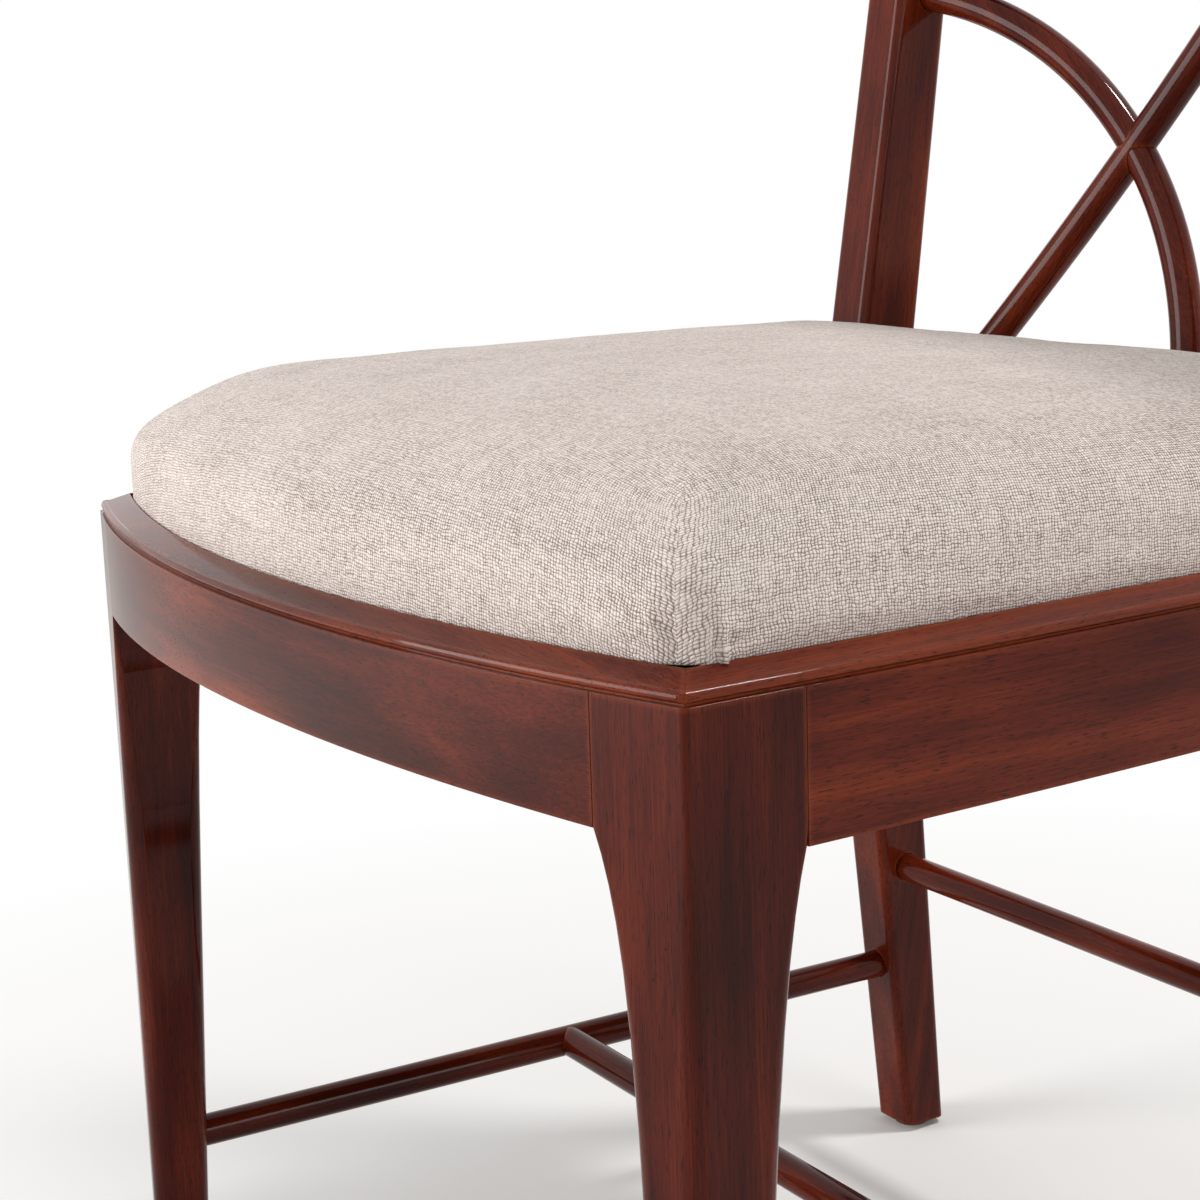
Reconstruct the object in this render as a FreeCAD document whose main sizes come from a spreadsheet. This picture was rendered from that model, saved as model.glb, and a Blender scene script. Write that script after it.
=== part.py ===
import FreeCAD, Part
import math
import os
from FreeCAD import Placement, Rotation, Vector

os.makedirs("parts", exist_ok=True)

# Mahogany side chair with a bowed front rail, an upholstered drop-in seat and a raked trellis back.
# X runs to the sitter's left, the front is at -Y and Z is up. Lengths are millimetres, angles degrees.
# The back is drawn in its own raked frame: X across, y to the rear, z up along the raked posts.

SIZES = {
    "front_width": 500,
    "rear_width": 468,
    "seat_depth": 438,
    "front_bow": 39,
    "side_bow": 4,
    "seat_height": 425,
    "front_rail_height": 44,
    "front_rail_arch": 3,
    "side_rail_height": 52,
    "rear_rail_height": 50,
    "rear_rail_lip": 6,
    "rail_thickness": 24,
    "rear_rail_thickness": 30,
    "rear_rail_lead": 11,
    "arris": 1.6,
    "leg_edge_radius": 3,
    "leg_joint_radius": 0.4,
    "leg_front_width": 39,
    "leg_front_taper": 31,
    "leg_side_width": 46,
    "leg_side_taper": 42,
    "leg_ankle_width": 25,
    "leg_flare_drop": 28,
    "ankle_round": 10,
    "ankle_length": 90,
    "post_width": 30,
    "post_depth": 42,
    "post_top_depth": 27,
    "post_foot_depth": 28,
    "post_round": 5,
    "back_rake": 8.3,
    "rear_leg_rake": 5,
    "bend_radius": 220,
    "back_bow": 40,
    "lower_rail_rise": 14,
    "lower_rail_height": 28,
    "lower_rail_thickness": 20,
    "crest_rise": 458,
    "crest_height": 60,
    "crest_arch": 9,
    "crest_thickness": 23,
    "crest_round": 4,
    "lattice_rod": 17,
    "diagonal_spread": 154,
    "brace_gap": 0.8,
    "brace_foot": 17,
    "brace_centre_rise": 15,
    "rod_seat": 10,
    "stretcher_rod": 16,
    "side_stretcher_height": 105,
    "rear_stretcher_height": 167,
    "cross_tenon_rod": 9,
    "cross_tenon": 6,
    "rim_width": 14,
    "rim_quirk": 1.8,
    "rim_bead": 3.6,
    "rim_rise": 8.5,
    "rim_corner_radius": 4,
    "rebate_depth": 8,
    "board_thickness": 12,
    "board_margin": 1.6,
    "cover_clearance": 0.5,
    "cushion_crown": 64,
    "cushion_shoulder": 30,
    "cushion_bulge": 1.5,
    "dust_cover_thickness": 1,
    "block_leg": 62,
    "block_height": 32,
    "block_drop": 4,
    "dowel_rod": 8,
    "dowel_length": 44,
    "dowel_spread": 22,
    "screw_shank": 4,
    "screw_head": 8,
    "seat_screw_length": 45,
    "block_screw_length": 40,
    "glide_width": 19,
    "glide_thickness": 4,
    "fit_clearance": 0.15,
}

doc = FreeCAD.newDocument("side_chair")
sheet = doc.addObject("Spreadsheet::Sheet", "sizes")
for row, (alias, number) in enumerate(SIZES.items(), start=1):
    sheet.set(f"A{row}", alias)
    sheet.set(f"B{row}", str(number))
    sheet.setAlias(f"B{row}", alias)
doc.recompute()

Z_AXIS = Vector(0, 0, 1)
nodes = []


def size(alias):
    """The value of a driving dimension."""
    return float(sheet.get(alias))


# Plan geometry: the two bowed outlines and the lines that the joints lie on.


def bow_circle(start, end, bow):
    """Centre and radius of the arc from start to end whose middle stands out by bow, to the right."""
    chord = end - start
    half = chord.Length / 2
    outward = Vector(chord.y, -chord.x, 0).normalize()
    radius = (half * half + bow * bow) / (2 * bow)
    return (start + end) / 2 + outward * (bow - radius), radius


def circle_meets_line(centre, radius, point, direction, near):
    """Where a line cuts a circle, on the side of near."""
    way = Vector(direction).normalize()
    foot = point + way * (centre - point).dot(way)
    reach = math.sqrt(radius**2 - (foot - centre).Length ** 2)
    return min((foot + way * reach, foot - way * reach), key=lambda p: (p - near).Length)


def circles_meet(first, second, near):
    """Where two circles cross, on the side of near."""
    (a, ra), (b, rb) = first, second
    gap = (b - a).Length
    along = (gap**2 + ra**2 - rb**2) / (2 * gap)
    way = (b - a).normalize()
    across = Vector(-way.y, way.x, 0)
    return circle_meets_line(a, ra, a + way * along, across, near)


def arc_between(start, end, centre, radius):
    """The short arc of a circle from start to end."""
    middle = centre + ((start + end) / 2 - centre).normalize() * radius
    return Part.ArcOfCircle(start, middle, end)


def mirrored(point):
    return Vector(-point.x, point.y, point.z)


HALF_FRONT = size("front_width") / 2
HALF_REAR = size("rear_width") / 2
POST_FRONT = size("seat_depth") - size("post_depth") / 2
POST_X = HALF_REAR - size("post_width") / 2
POST_INNER = HALF_REAR - size("post_width")
CORNER = Vector(HALF_FRONT, 0, 0)
BACK_CORNER = Vector(HALF_REAR, POST_FRONT, 0)
FRONT_CENTRE, FRONT_RADIUS = bow_circle(mirrored(CORNER), CORNER, size("front_bow"))
SIDE_CENTRE, SIDE_RADIUS = bow_circle(CORNER, BACK_CORNER, size("side_bow"))


FRONT_JOINT = circles_meet((FRONT_CENTRE, FRONT_RADIUS), (CORNER, size("leg_front_width")), Vector(0, 0, 0))
SIDE_JOINT = circles_meet((SIDE_CENTRE, SIDE_RADIUS), (CORNER, size("leg_side_width")), BACK_CORNER)
ALONG_FRONT = (FRONT_JOINT - CORNER).normalize()
ALONG_SIDE = (SIDE_JOINT - CORNER).normalize()
MITRE = (ALONG_FRONT + ALONG_SIDE).normalize()


def seat_outline(inset, back_line):
    """The seat's plan, drawn in from the frame's outer faces: front arc, left side, back and right side."""
    front = (FRONT_CENTRE, FRONT_RADIUS - inset)
    side = (SIDE_CENTRE, SIDE_RADIUS - inset)
    corner = circles_meet(front, side, CORNER)
    near = Vector(HALF_REAR, back_line, 0)
    back = circle_meets_line(*side, Vector(0, back_line, 0), Vector(1, 0, 0), near)
    right_side = (mirrored(SIDE_CENTRE), side[1])
    return [
        arc_between(mirrored(corner), corner, *front),
        arc_between(corner, back, *side),
        Part.LineSegment(back, mirrored(back)),
        arc_between(mirrored(back), mirrored(corner), *right_side),
    ]


# Helpers that make the document's objects.


def polygon(points):
    """Line segments round a closed outline."""
    return [Part.LineSegment(a, b) for a, b in zip(points, points[1:] + points[:1])]


def new_sketch(name, geometry, placement=None):
    sketch = doc.addObject("Sketcher::SketchObject", name)
    for edge in geometry:
        sketch.addGeometry(edge, False)
    sketch.Placement = placement or Placement()
    return sketch


def extrude(name, sketch, length, direction=Z_AXIS, symmetric=False):
    """A sketch drawn out along a direction; length is an expression of the sheet."""
    solid = doc.addObject("Part::Extrusion", name)
    solid.Base = sketch
    solid.DirMode = "Custom"
    solid.Dir = direction
    solid.Solid = True
    solid.Symmetric = symmetric
    solid.setExpression("LengthFwd", length)
    return solid


def cut(name, base, tool):
    solid = doc.addObject("Part::Cut", name)
    solid.Base = base
    solid.Tool = tool
    return solid


def common(name, base, tool):
    solid = doc.addObject("Part::Common", name)
    solid.Base = base
    solid.Tool = tool
    return solid


def fuse(name, shapes):
    solid = doc.addObject("Part::MultiFuse", name)
    solid.Shapes = shapes
    return solid


def compound(name, links):
    group = doc.addObject("Part::Compound", name)
    group.Links = links
    return group


def mirror_x(name, source):
    """The same piece on the sitter's right."""
    twin = doc.addObject("Part::Mirroring", name)
    twin.Source = source
    twin.Normal = Vector(1, 0, 0)
    twin.Base = Vector(0, 0, 0)
    return twin


def rod(name, start, end, radius, length=None):
    """A round rod from start to end; radius is an expression of the sheet."""
    solid = doc.addObject("Part::Cylinder", name)
    solid.setExpression("Radius", radius)
    if length:
        solid.setExpression("Height", length)
    else:
        solid.Height = (end - start).Length
    solid.Placement = Placement(start, Rotation(Z_AXIS, end - start))
    return solid


def round_edges(name, base, radius, wanted):
    """Rounds the edges that the test picks out."""
    doc.recompute()
    picked = [i for i, edge in enumerate(base.Shape.Edges, start=1) if wanted(edge)]
    if not picked:
        raise ValueError(f"no edge to round on {name}")
    rounded = doc.addObject("Part::Fillet", name)
    rounded.Base = base
    rounded.Edges = [(i, radius, radius) for i in picked]
    return rounded


def lies_at(edge, coordinate, level):
    """True where the whole edge keeps one coordinate."""
    box = edge.BoundBox
    low, high = getattr(box, coordinate + "Min"), getattr(box, coordinate + "Max")
    return abs(low - level) < 0.01 and abs(high - level) < 0.01


def keep(label, source):
    """Marks a finished piece; its Label names its file."""
    source.Label = label
    nodes.append(source)
    return source


def new_body(name):
    return doc.addObject("PartDesign::Body", name)


def body_sketch(body, plane, geometry, lift=0):
    """A sketch on one of the body's own planes, lifted along its normal."""
    sketch = body.newObject("Sketcher::SketchObject", body.Name + "_profile")
    origin_plane = next(f for f in body.Origin.OriginFeatures if f.Role == plane)
    sketch.AttachmentSupport = [(origin_plane, "")]
    sketch.MapMode = "FlatFace"
    sketch.AttachmentOffset = Placement(Vector(0, 0, lift), Rotation())
    for edge in geometry:
        sketch.addGeometry(edge, False)
    return sketch


def pad(body, sketch, length, symmetric=False):
    feature = body.newObject("PartDesign::Pad", body.Name + "_pad")
    feature.Profile = sketch
    feature.SideType = "Symmetric" if symmetric else "One side"
    feature.setExpression("Length", length)
    return feature


# Rails of the seat frame. Their tops are level with the legs and carry the rim.

SEAT_TOP = size("seat_height")
SEAT_BACK_LINE = POST_FRONT - size("cover_clearance")


def front_rail_outline():
    left = FRONT_JOINT
    inner_radius = FRONT_RADIUS - size("rail_thickness")
    inner = circle_meets_line(FRONT_CENTRE, inner_radius, left, ALONG_SIDE, left)
    return [
        arc_between(mirrored(left), left, FRONT_CENTRE, FRONT_RADIUS),
        Part.LineSegment(left, inner),
        arc_between(inner, mirrored(inner), FRONT_CENTRE, inner_radius),
        Part.LineSegment(mirrored(inner), mirrored(left)),
    ]


def arched_cut(body, name, span, level, rise, depth):
    """Cuts a body's long edge to an arc, seen from the front; depth is how far the cut reaches past it."""
    start, end = Vector(-span, level, 0), Vector(span, level, 0)
    past = Vector(0, depth, 0)
    arch = Part.ArcOfCircle(start, Vector(0, level + rise, 0), end)
    sides = polygon([end, end + past, start + past, start])[:3]
    pocket = body.newObject("PartDesign::Pocket", name)
    pocket.Profile = body_sketch(body, "XZ_Plane", [arch] + sides)
    pocket.SideType = "Symmetric"
    pocket.Type = "ThroughAll"


def make_front_rail():
    """Bowed in plan, with its lower edge arched a little."""
    body = new_body("front_rail_body")
    height = size("front_rail_height")
    sketch = body_sketch(body, "XY_Plane", front_rail_outline(), SEAT_TOP - height)
    pad(body, sketch, "sizes.front_rail_height")
    span = FRONT_JOINT.x
    low = SEAT_TOP - height
    arched_cut(body, "front_rail_arch_cut", span, low, size("front_rail_arch"), -size("arris"))
    return body


def side_rail_outline():
    front = SIDE_JOINT
    inner_radius = SIDE_RADIUS - size("rail_thickness")
    front_inner = circle_meets_line(SIDE_CENTRE, inner_radius, front, ALONG_FRONT, front)
    back_line = Vector(0, POST_FRONT, 0)
    back_inner = circle_meets_line(SIDE_CENTRE, inner_radius, back_line, Vector(1, 0, 0), BACK_CORNER)
    return [
        arc_between(front, BACK_CORNER, SIDE_CENTRE, SIDE_RADIUS),
        Part.LineSegment(BACK_CORNER, back_inner),
        arc_between(back_inner, front_inner, SIDE_CENTRE, inner_radius),
        Part.LineSegment(front_inner, front),
    ]


def make_side_rail():
    body = new_body("side_rail_body")
    sketch = body_sketch(body, "XY_Plane", side_rail_outline(), SEAT_TOP - size("side_rail_height"))
    pad(body, sketch, "sizes.side_rail_height")
    return body


def make_rear_rail():
    """Straight, between the posts; its front stands ahead of them to carry the seat board."""
    body = new_body("rear_rail_body")
    front = POST_FRONT - size("rear_rail_lead")
    back = front + size("rear_rail_thickness")
    corners = [Vector(x, y, 0) for x, y in ((-1, front), (1, front), (1, back), (-1, back))]
    outline = polygon([Vector(p.x * POST_INNER, p.y, 0) for p in corners])
    sketch = body_sketch(body, "XY_Plane", outline, SEAT_TOP - size("rear_rail_height"))
    pad(body, sketch, "sizes.rear_rail_height + sizes.rear_rail_lip")
    return body


# Front legs: square at the seat, rounder and slimmer as they go down.


def leg_section(front_size, side_size, outer_radius, other_radius):
    """A rounded four-sided outline from the outer corner, along the front and side faces."""
    along_front = ALONG_FRONT * front_size
    along_side = ALONG_SIDE * side_size
    corners = [CORNER, CORNER + along_side, CORNER + along_side + along_front, CORNER + along_front]
    edges = []
    for i, corner in enumerate(corners):
        to_last = (corners[i - 1] - corner).normalize()
        to_next = (corners[(i + 1) % 4] - corner).normalize()
        radius = other_radius if i else outer_radius
        half_angle = to_last.getAngle(to_next) / 2
        trim = radius / math.tan(half_angle)
        centre = corner + (to_last + to_next).normalize() * (radius / math.sin(half_angle))
        start, end = corner + to_last * trim, corner + to_next * trim
        middle = centre + (corner - centre).normalize() * radius
        edges.append((start, end, Part.ArcOfCircle(start, middle, end)))
    outline = []
    for i, (start, end, arc) in enumerate(edges):
        outline.append(arc)
        outline.append(Part.LineSegment(end, edges[(i + 1) % 4][0]))
    return outline


# Sections of the leg, as drops below the rail in lengths of its flare.
LEG_STATIONS = [0, 0.29, 0.64, 1.07, 1.64, 2.43, 3.57, 5.36, 8.57]


def leg_face(wide, taper, drop):
    """Width of a leg's face at a drop below its rail: a long straight taper with a short flare at the top."""
    ankle = size("leg_ankle_width")
    length = SEAT_TOP - size("front_rail_height") - size("glide_thickness")
    flare = (wide - taper) * math.exp(-drop / size("leg_flare_drop"))
    return taper + (ankle - taper) * drop / length + flare


# The outer arris is rounded all the way up; the others stay crisp where the rails butt against them.
LEG_RADII = ["leg_edge_radius", "leg_joint_radius"]


def leg_measures(height):
    """Width along front and side, and radius of the outer arris and of the others, at a height."""
    front_drop = SEAT_TOP - size("front_rail_height") - height
    side_drop = max(0, SEAT_TOP - size("side_rail_height") - height)
    grown = 1 - math.exp(-front_drop / size("ankle_length"))
    radii = [size(top) + (size("ankle_round") - size(top)) * grown for top in LEG_RADII]
    front = leg_face(size("leg_front_width"), size("leg_front_taper"), front_drop)
    side = leg_face(size("leg_side_width"), size("leg_side_taper"), side_drop)
    return front, side, *radii


def make_front_leg():
    body = new_body("front_leg_body")
    shoulder = SEAT_TOP - size("front_rail_height")
    block = body_sketch(body, "XY_Plane", leg_section(*leg_measures(shoulder)), shoulder)
    pad(body, block, "sizes.front_rail_height")
    heights = [shoulder - share * size("leg_flare_drop") for share in LEG_STATIONS]
    heights.append(size("glide_thickness"))
    sections = [body_sketch(body, "XY_Plane", leg_section(*leg_measures(z)), z) for z in heights]
    loft = body.newObject("PartDesign::AdditiveLoft", "front_leg_taper")
    loft.Profile = sections[0]
    loft.Sections = sections[1:]
    loft.Ruled = True
    return body


# Rear posts: straight at the seat, raked back above it and below it.

FRAME_DROP = size("side_rail_height")
BACK_RAKE = math.radians(size("back_rake"))
LEG_RAKE = math.radians(size("rear_leg_rake"))
BACK_TURN = Rotation(Vector(1, 0, 0), -size("back_rake"))
BACK_PLACE = Placement(Vector(0, size("seat_depth"), SEAT_TOP), BACK_TURN)
POST_TOP = size("crest_rise")


def post_edge(side):
    """Points down one edge of the post in side view; side is -1 for the front edge and 1 for the rear."""
    half = size("post_depth") / 2
    mid = size("seat_depth")
    head = BACK_PLACE.multVec(Vector(0, side * size("post_top_depth") / 2, POST_TOP))
    waist_top = Vector(0, mid + side * half, SEAT_TOP)
    waist_low = Vector(0, mid + side * half, SEAT_TOP - FRAME_DROP)
    foot_drop = SEAT_TOP - FRAME_DROP - size("glide_thickness")
    foot_y = mid + foot_drop * math.tan(LEG_RAKE) + side * size("post_foot_depth") / 2
    foot = Vector(0, foot_y, size("glide_thickness"))
    return [head, waist_top, waist_low, foot]


def eased_bend(before, corner, after, radius):
    """The arc that eases a corner, with its two ends."""
    to_before = (before - corner).normalize()
    to_after = (after - corner).normalize()
    half_angle = to_before.getAngle(to_after) / 2
    trim = radius / math.tan(half_angle)
    centre = corner + (to_before + to_after).normalize() * (radius / math.sin(half_angle))
    start, end = corner + to_before * trim, corner + to_after * trim
    return start, end, Part.ArcOfCircle(start, centre + (corner - centre).normalize() * radius, end)


def eased_edge(points):
    """An edge of the post with both bends eased, as sketch geometry on the YZ plane."""
    flat = [Vector(p.y, p.z, 0) for p in points]
    upper = eased_bend(flat[0], flat[1], flat[2], size("bend_radius"))
    lower = eased_bend(flat[1], flat[2], flat[3], size("bend_radius"))
    return flat[0], flat[3], [
        Part.LineSegment(flat[0], upper[0]),
        upper[2],
        Part.LineSegment(upper[1], lower[0]),
        lower[2],
        Part.LineSegment(lower[1], flat[3]),
    ]


def make_post():
    front_top, front_foot, front = eased_edge(post_edge(-1))
    rear_top, rear_foot, rear = eased_edge(post_edge(1))
    body = new_body("post_body")
    closing = [Part.LineSegment(front_top, rear_top), Part.LineSegment(front_foot, rear_foot)]
    profile = body_sketch(body, "YZ_Plane", front + rear + closing, POST_X)
    pad(body, profile, "sizes.post_width", symmetric=True)
    doc.recompute()

    def runs_down(edge):
        sides = (POST_INNER, HALF_REAR)
        level = edge.BoundBox.ZMax - edge.BoundBox.ZMin
        return any(lies_at(edge, "X", x) for x in sides) and level > size("post_round")

    return round_edges("post_rounded", body, size("post_round"), runs_down)


# Rim moulding: a bead and a sloping top along the edge of the seat frame, mitred at the front corners.


BEAD_FACETS = 6


def rim_profile(radius):
    """The moulding's section, drawn on the XZ plane with x as the distance from the bow's centre."""
    quirk, bead, rise = size("rim_quirk"), size("rim_bead"), size("rim_rise")
    outer = radius - quirk
    inner = radius - size("rim_width")
    foot_out, foot_in = Vector(outer, SEAT_TOP, 0), Vector(inner, SEAT_TOP, 0)
    bead_low = Vector(outer, SEAT_TOP + bead / 4, 0)
    bead_nose = Vector(outer + quirk / 2, SEAT_TOP + bead / 2, 0)
    bead_top = Vector(outer - bead / 2, SEAT_TOP + bead + bead / 4, 0)
    crown = Vector(inner, SEAT_TOP + rise, 0)
    bead_points = Part.ArcOfCircle(bead_low, bead_nose, bead_top).toShape().discretize(BEAD_FACETS + 1)
    return polygon([foot_out, *bead_points, crown, foot_in])


def rim_ring(name, centre, radius, heading):
    """The section swept round the bow's centre, either side of a heading in degrees."""
    upright = Rotation(Vector(1, 0, 0), 90)
    turned = Rotation(Z_AXIS, heading) * upright
    sketch = new_sketch(name + "_section", rim_profile(radius), Placement(centre, turned))
    ring = doc.addObject("Part::Revolution", name + "_ring")
    ring.Source = sketch
    ring.Axis = Z_AXIS
    ring.Base = centre
    ring.Symmetric = True
    ring.Solid = True
    ring.Angle = math.degrees(2.4 * size("front_width") / radius)
    return ring


def trim_to(name, ring, points):
    """The part of a ring that stands over a plan outline."""
    low = SEAT_TOP - size("rim_rise")
    sketch = new_sketch(name + "_plan", polygon(points), Placement(Vector(0, 0, low), Rotation()))
    return common(name + "_trimmed", ring, extrude(name + "_zone", sketch, "3 * sizes.rim_rise"))


def corner_rounding(name):
    """What is cut off the mitred corner, so that the bead's nose turns round it above the leg's arris."""
    radius = size("rim_corner_radius")
    sink = size("rim_quirk") / 2 + size("fit_clearance") / 3
    front, side = (FRONT_CENTRE, FRONT_RADIUS - sink), (SIDE_CENTRE, SIDE_RADIUS - sink)
    tip = circles_meet(front, side, CORNER)
    joints = ((front, FRONT_JOINT), (side, SIDE_JOINT))
    ways = [circles_meet(line, (tip, radius), joint) - tip for line, joint in joints]
    half_angle = ways[0].getAngle(ways[1]) / 2
    inward = (ways[0].normalize() + ways[1].normalize()).normalize()
    centre = tip + inward * (radius / math.sin(half_angle))
    first, last = (tip + way * (radius / math.tan(half_angle)) for way in ways)
    outside = [end + (end - centre) / 4 for end in (first, last)]
    points = [first, outside[0], tip - inward * (radius / 2), outside[1], last]
    edges = [Part.LineSegment(a, b) for a, b in zip(points, points[1:])]
    edges.append(Part.ArcOfCircle(last, centre - inward * radius, first))
    place = Placement(Vector(0, 0, SEAT_TOP - size("rim_rise")), Rotation())
    return extrude(name, new_sketch(name + "_plan", edges, place), "3 * sizes.rim_rise")


def make_front_rim():
    reach = 2 * size("front_bow") + size("rim_width")
    ring = rim_ring("front_rim", FRONT_CENTRE, FRONT_RADIUS, -90)
    outer, inner = CORNER - MITRE * reach, CORNER + MITRE * reach
    strip = trim_to("front_rim", ring, [mirrored(outer), outer, inner, mirrored(inner)])
    left = corner_rounding("front_rim_left_rounding")
    both = compound("front_rim_roundings", [left, mirror_x("front_rim_right_rounding", left)])
    return cut("front_rim_rounded", strip, both)


def make_side_rim():
    reach = 2 * size("rim_width")
    middle = (CORNER + BACK_CORNER) / 2 - SIDE_CENTRE
    ring = rim_ring("side_rim", SIDE_CENTRE, SIDE_RADIUS, math.degrees(math.atan2(middle.y, middle.x)))
    outer, inner = CORNER - MITRE * reach, CORNER + MITRE * reach
    back_outer = Vector(HALF_FRONT + reach, POST_FRONT, 0)
    back_inner = Vector(HALF_REAR - reach, POST_FRONT, 0)
    strip = trim_to("side_rim", ring, [outer, back_outer, back_inner, inner])
    return cut("side_rim_rounded", strip, corner_rounding("side_rim_rounding"))


# Back: two bowed cross rails and the trellis between them, all in the raked frame.

BACK_RADIUS = (POST_X**2 + size("back_bow") ** 2) / (2 * size("back_bow"))
LATTICE_LOW = size("lower_rail_rise") + size("lower_rail_height")
LATTICE_TOP = size("crest_rise")
LATTICE_MID = (LATTICE_LOW + LATTICE_TOP) / 2
LAP_BOX = 3 * size("lattice_rod")


def bowed(x):
    """How far behind the posts the back's middle surface lies at x."""
    return math.sqrt(BACK_RADIUS**2 - x * x) - BACK_RADIUS + size("back_bow")


def back_strip(half_span, thickness):
    """Plan of a bowed rail: its front and rear arcs and its ends."""
    centre = Vector(0, size("back_bow") - BACK_RADIUS, 0)
    corners = []
    for radius in (BACK_RADIUS - thickness / 2, BACK_RADIUS + thickness / 2):
        y = centre.y + math.sqrt(radius**2 - half_span**2)
        corners.append((Vector(half_span, y, 0), radius))
    (front, front_radius), (rear, rear_radius) = corners
    return [
        arc_between(mirrored(front), front, centre, front_radius),
        Part.LineSegment(front, rear),
        arc_between(rear, mirrored(rear), centre, rear_radius),
        Part.LineSegment(mirrored(rear), mirrored(front)),
    ]


def make_lower_rail():
    body = new_body("lower_rail_body")
    outline = back_strip(POST_INNER, size("lower_rail_thickness"))
    pad(body, body_sketch(body, "XY_Plane", outline, size("lower_rail_rise")), "sizes.lower_rail_height")

    def long_edge(edge):
        levels = (size("lower_rail_rise"), LATTICE_LOW)
        return any(lies_at(edge, "Z", z) for z in levels) and edge.Length > POST_INNER

    return round_edges("lower_rail_rounded", body, size("crest_round"), long_edge)


def make_crest():
    """Bowed like the lattice, its top edge arched from end to end."""
    body = new_body("crest_body")
    thickness = size("crest_thickness")
    outline = back_strip(HALF_REAR, thickness)
    pad(body, body_sketch(body, "XY_Plane", outline, LATTICE_TOP), "sizes.crest_height")
    arch = size("crest_arch")
    shoulder = LATTICE_TOP + size("crest_height") - arch
    arched_cut(body, "crest_arch_cut", HALF_REAR, shoulder, arch, 2 * arch)
    return round_edges("crest_rounded", body, size("crest_round"), lambda edge: edge.Length > HALF_REAR)


def on_back(x, z):
    """A point of the bowed lattice surface in the raked frame."""
    return Vector(x, bowed(x), z)


def arc_rod(name, points, extra):
    """A round rod bent along the arc through three points of the raked frame."""
    a, b, c = points
    arc = Part.ArcOfCircle(a, b, c)
    centre, radius = arc.Center, arc.Radius
    normal = (a - centre).cross(b - centre).normalize()
    out = (a - centre).normalize()
    turn = Rotation(out, normal.cross(out), normal, "XYZ")
    solid = doc.addObject("Part::Torus", name)
    solid.Radius1 = radius
    solid.setExpression("Radius2", f"sizes.lattice_rod / 2 + {extra}")
    solid.Angle3 = math.degrees(arc.LastParameter - arc.FirstParameter)
    solid.Placement = Placement(centre, turn)
    return solid


SLOPE = 2 * size("diagonal_spread") / (LATTICE_TOP - LATTICE_LOW)


def diagonal_points():
    """From the lower rail on the right to the crest on the left."""
    seat = size("rod_seat")
    foot = -size("diagonal_spread") - SLOPE * seat
    return [on_back(foot, LATTICE_LOW - seat), on_back(0, LATTICE_MID), on_back(-foot, LATTICE_TOP + seat)]


def brace_circle():
    """Centre and radius of the arc from the lower rail to the post, just below mid-height."""
    rise = size("brace_centre_rise")
    foot_x, foot_z = -size("brace_foot"), LATTICE_LOW - rise
    post_x = -POST_INNER - size("rod_seat")
    post_z = LATTICE_MID - size("lattice_rod") / 2 - size("brace_gap") / 2 - rise
    x = (foot_x**2 + foot_z**2 - post_x**2 - post_z**2) / (2 * (foot_x - post_x))
    return x, rise, math.hypot(foot_x - x, foot_z)


def brace_points():
    """The lower right brace, from the lower rail to the post; the other three are its mirror images."""
    x, rise, radius = brace_circle()
    foot_angle = math.asin((LATTICE_LOW - size("rod_seat") - rise) / radius)
    post_angle = math.acos((-POST_INNER - size("rod_seat") - x) / radius)
    angles = (foot_angle, (foot_angle + post_angle) / 2, post_angle)
    return [on_back(x + radius * math.cos(a), rise + radius * math.sin(a)) for a in angles]


def crossing():
    """Where the lower right brace crosses the diagonal that rises from the same corner."""
    x, rise, radius = brace_circle()
    way = Vector(SLOPE, 0, 1)
    start = Vector(-size("diagonal_spread"), 0, LATTICE_LOW)
    offset = start - Vector(x, 0, rise)
    b, c = offset.dot(way), offset.dot(offset) - radius**2
    step = (-b + math.sqrt(b * b - way.dot(way) * c)) / way.dot(way)
    point = start + way * step
    return on_back(point.x, point.z)


def flipped(points, left, upper):
    """The same points mirrored across the middle and turned top to bottom."""
    sign = -1 if left else 1
    return [Vector(p.x * sign, p.y, 2 * LATTICE_MID - p.z if upper else p.z) for p in points]


def half_box(name, point, side):
    """A box in front of (side -1) or behind (side 1) a crossing."""
    box = doc.addObject("Part::Box", name)
    box.Length = box.Height = LAP_BOX
    box.Width = LAP_BOX / 2
    corner = Vector(LAP_BOX / 2, LAP_BOX / 2 if side < 0 else 0, LAP_BOX / 2)
    box.Placement = Placement(point - corner, Rotation())
    return box


LATTICE = {
    "lattice_diagonal_right": flipped(diagonal_points(), False, False),
    "lattice_diagonal_left": flipped(diagonal_points(), True, False),
    "lattice_brace_lower_right": flipped(brace_points(), False, False),
    "lattice_brace_lower_left": flipped(brace_points(), True, False),
    "lattice_brace_upper_right": flipped(brace_points(), False, True),
    "lattice_brace_upper_left": flipped(brace_points(), True, True),
}
CROSS = crossing()
MIDDLE = on_back(0, LATTICE_MID)
LAPS = [
    ("lattice_diagonal_left", "lattice_diagonal_right", MIDDLE),
    ("lattice_brace_lower_right", "lattice_diagonal_right", CROSS),
    ("lattice_brace_lower_left", "lattice_diagonal_left", flipped([CROSS], True, False)[0]),
    ("lattice_brace_upper_right", "lattice_diagonal_left", flipped([CROSS], False, True)[0]),
    ("lattice_brace_upper_left", "lattice_diagonal_right", flipped([CROSS], True, True)[0]),
]


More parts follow.
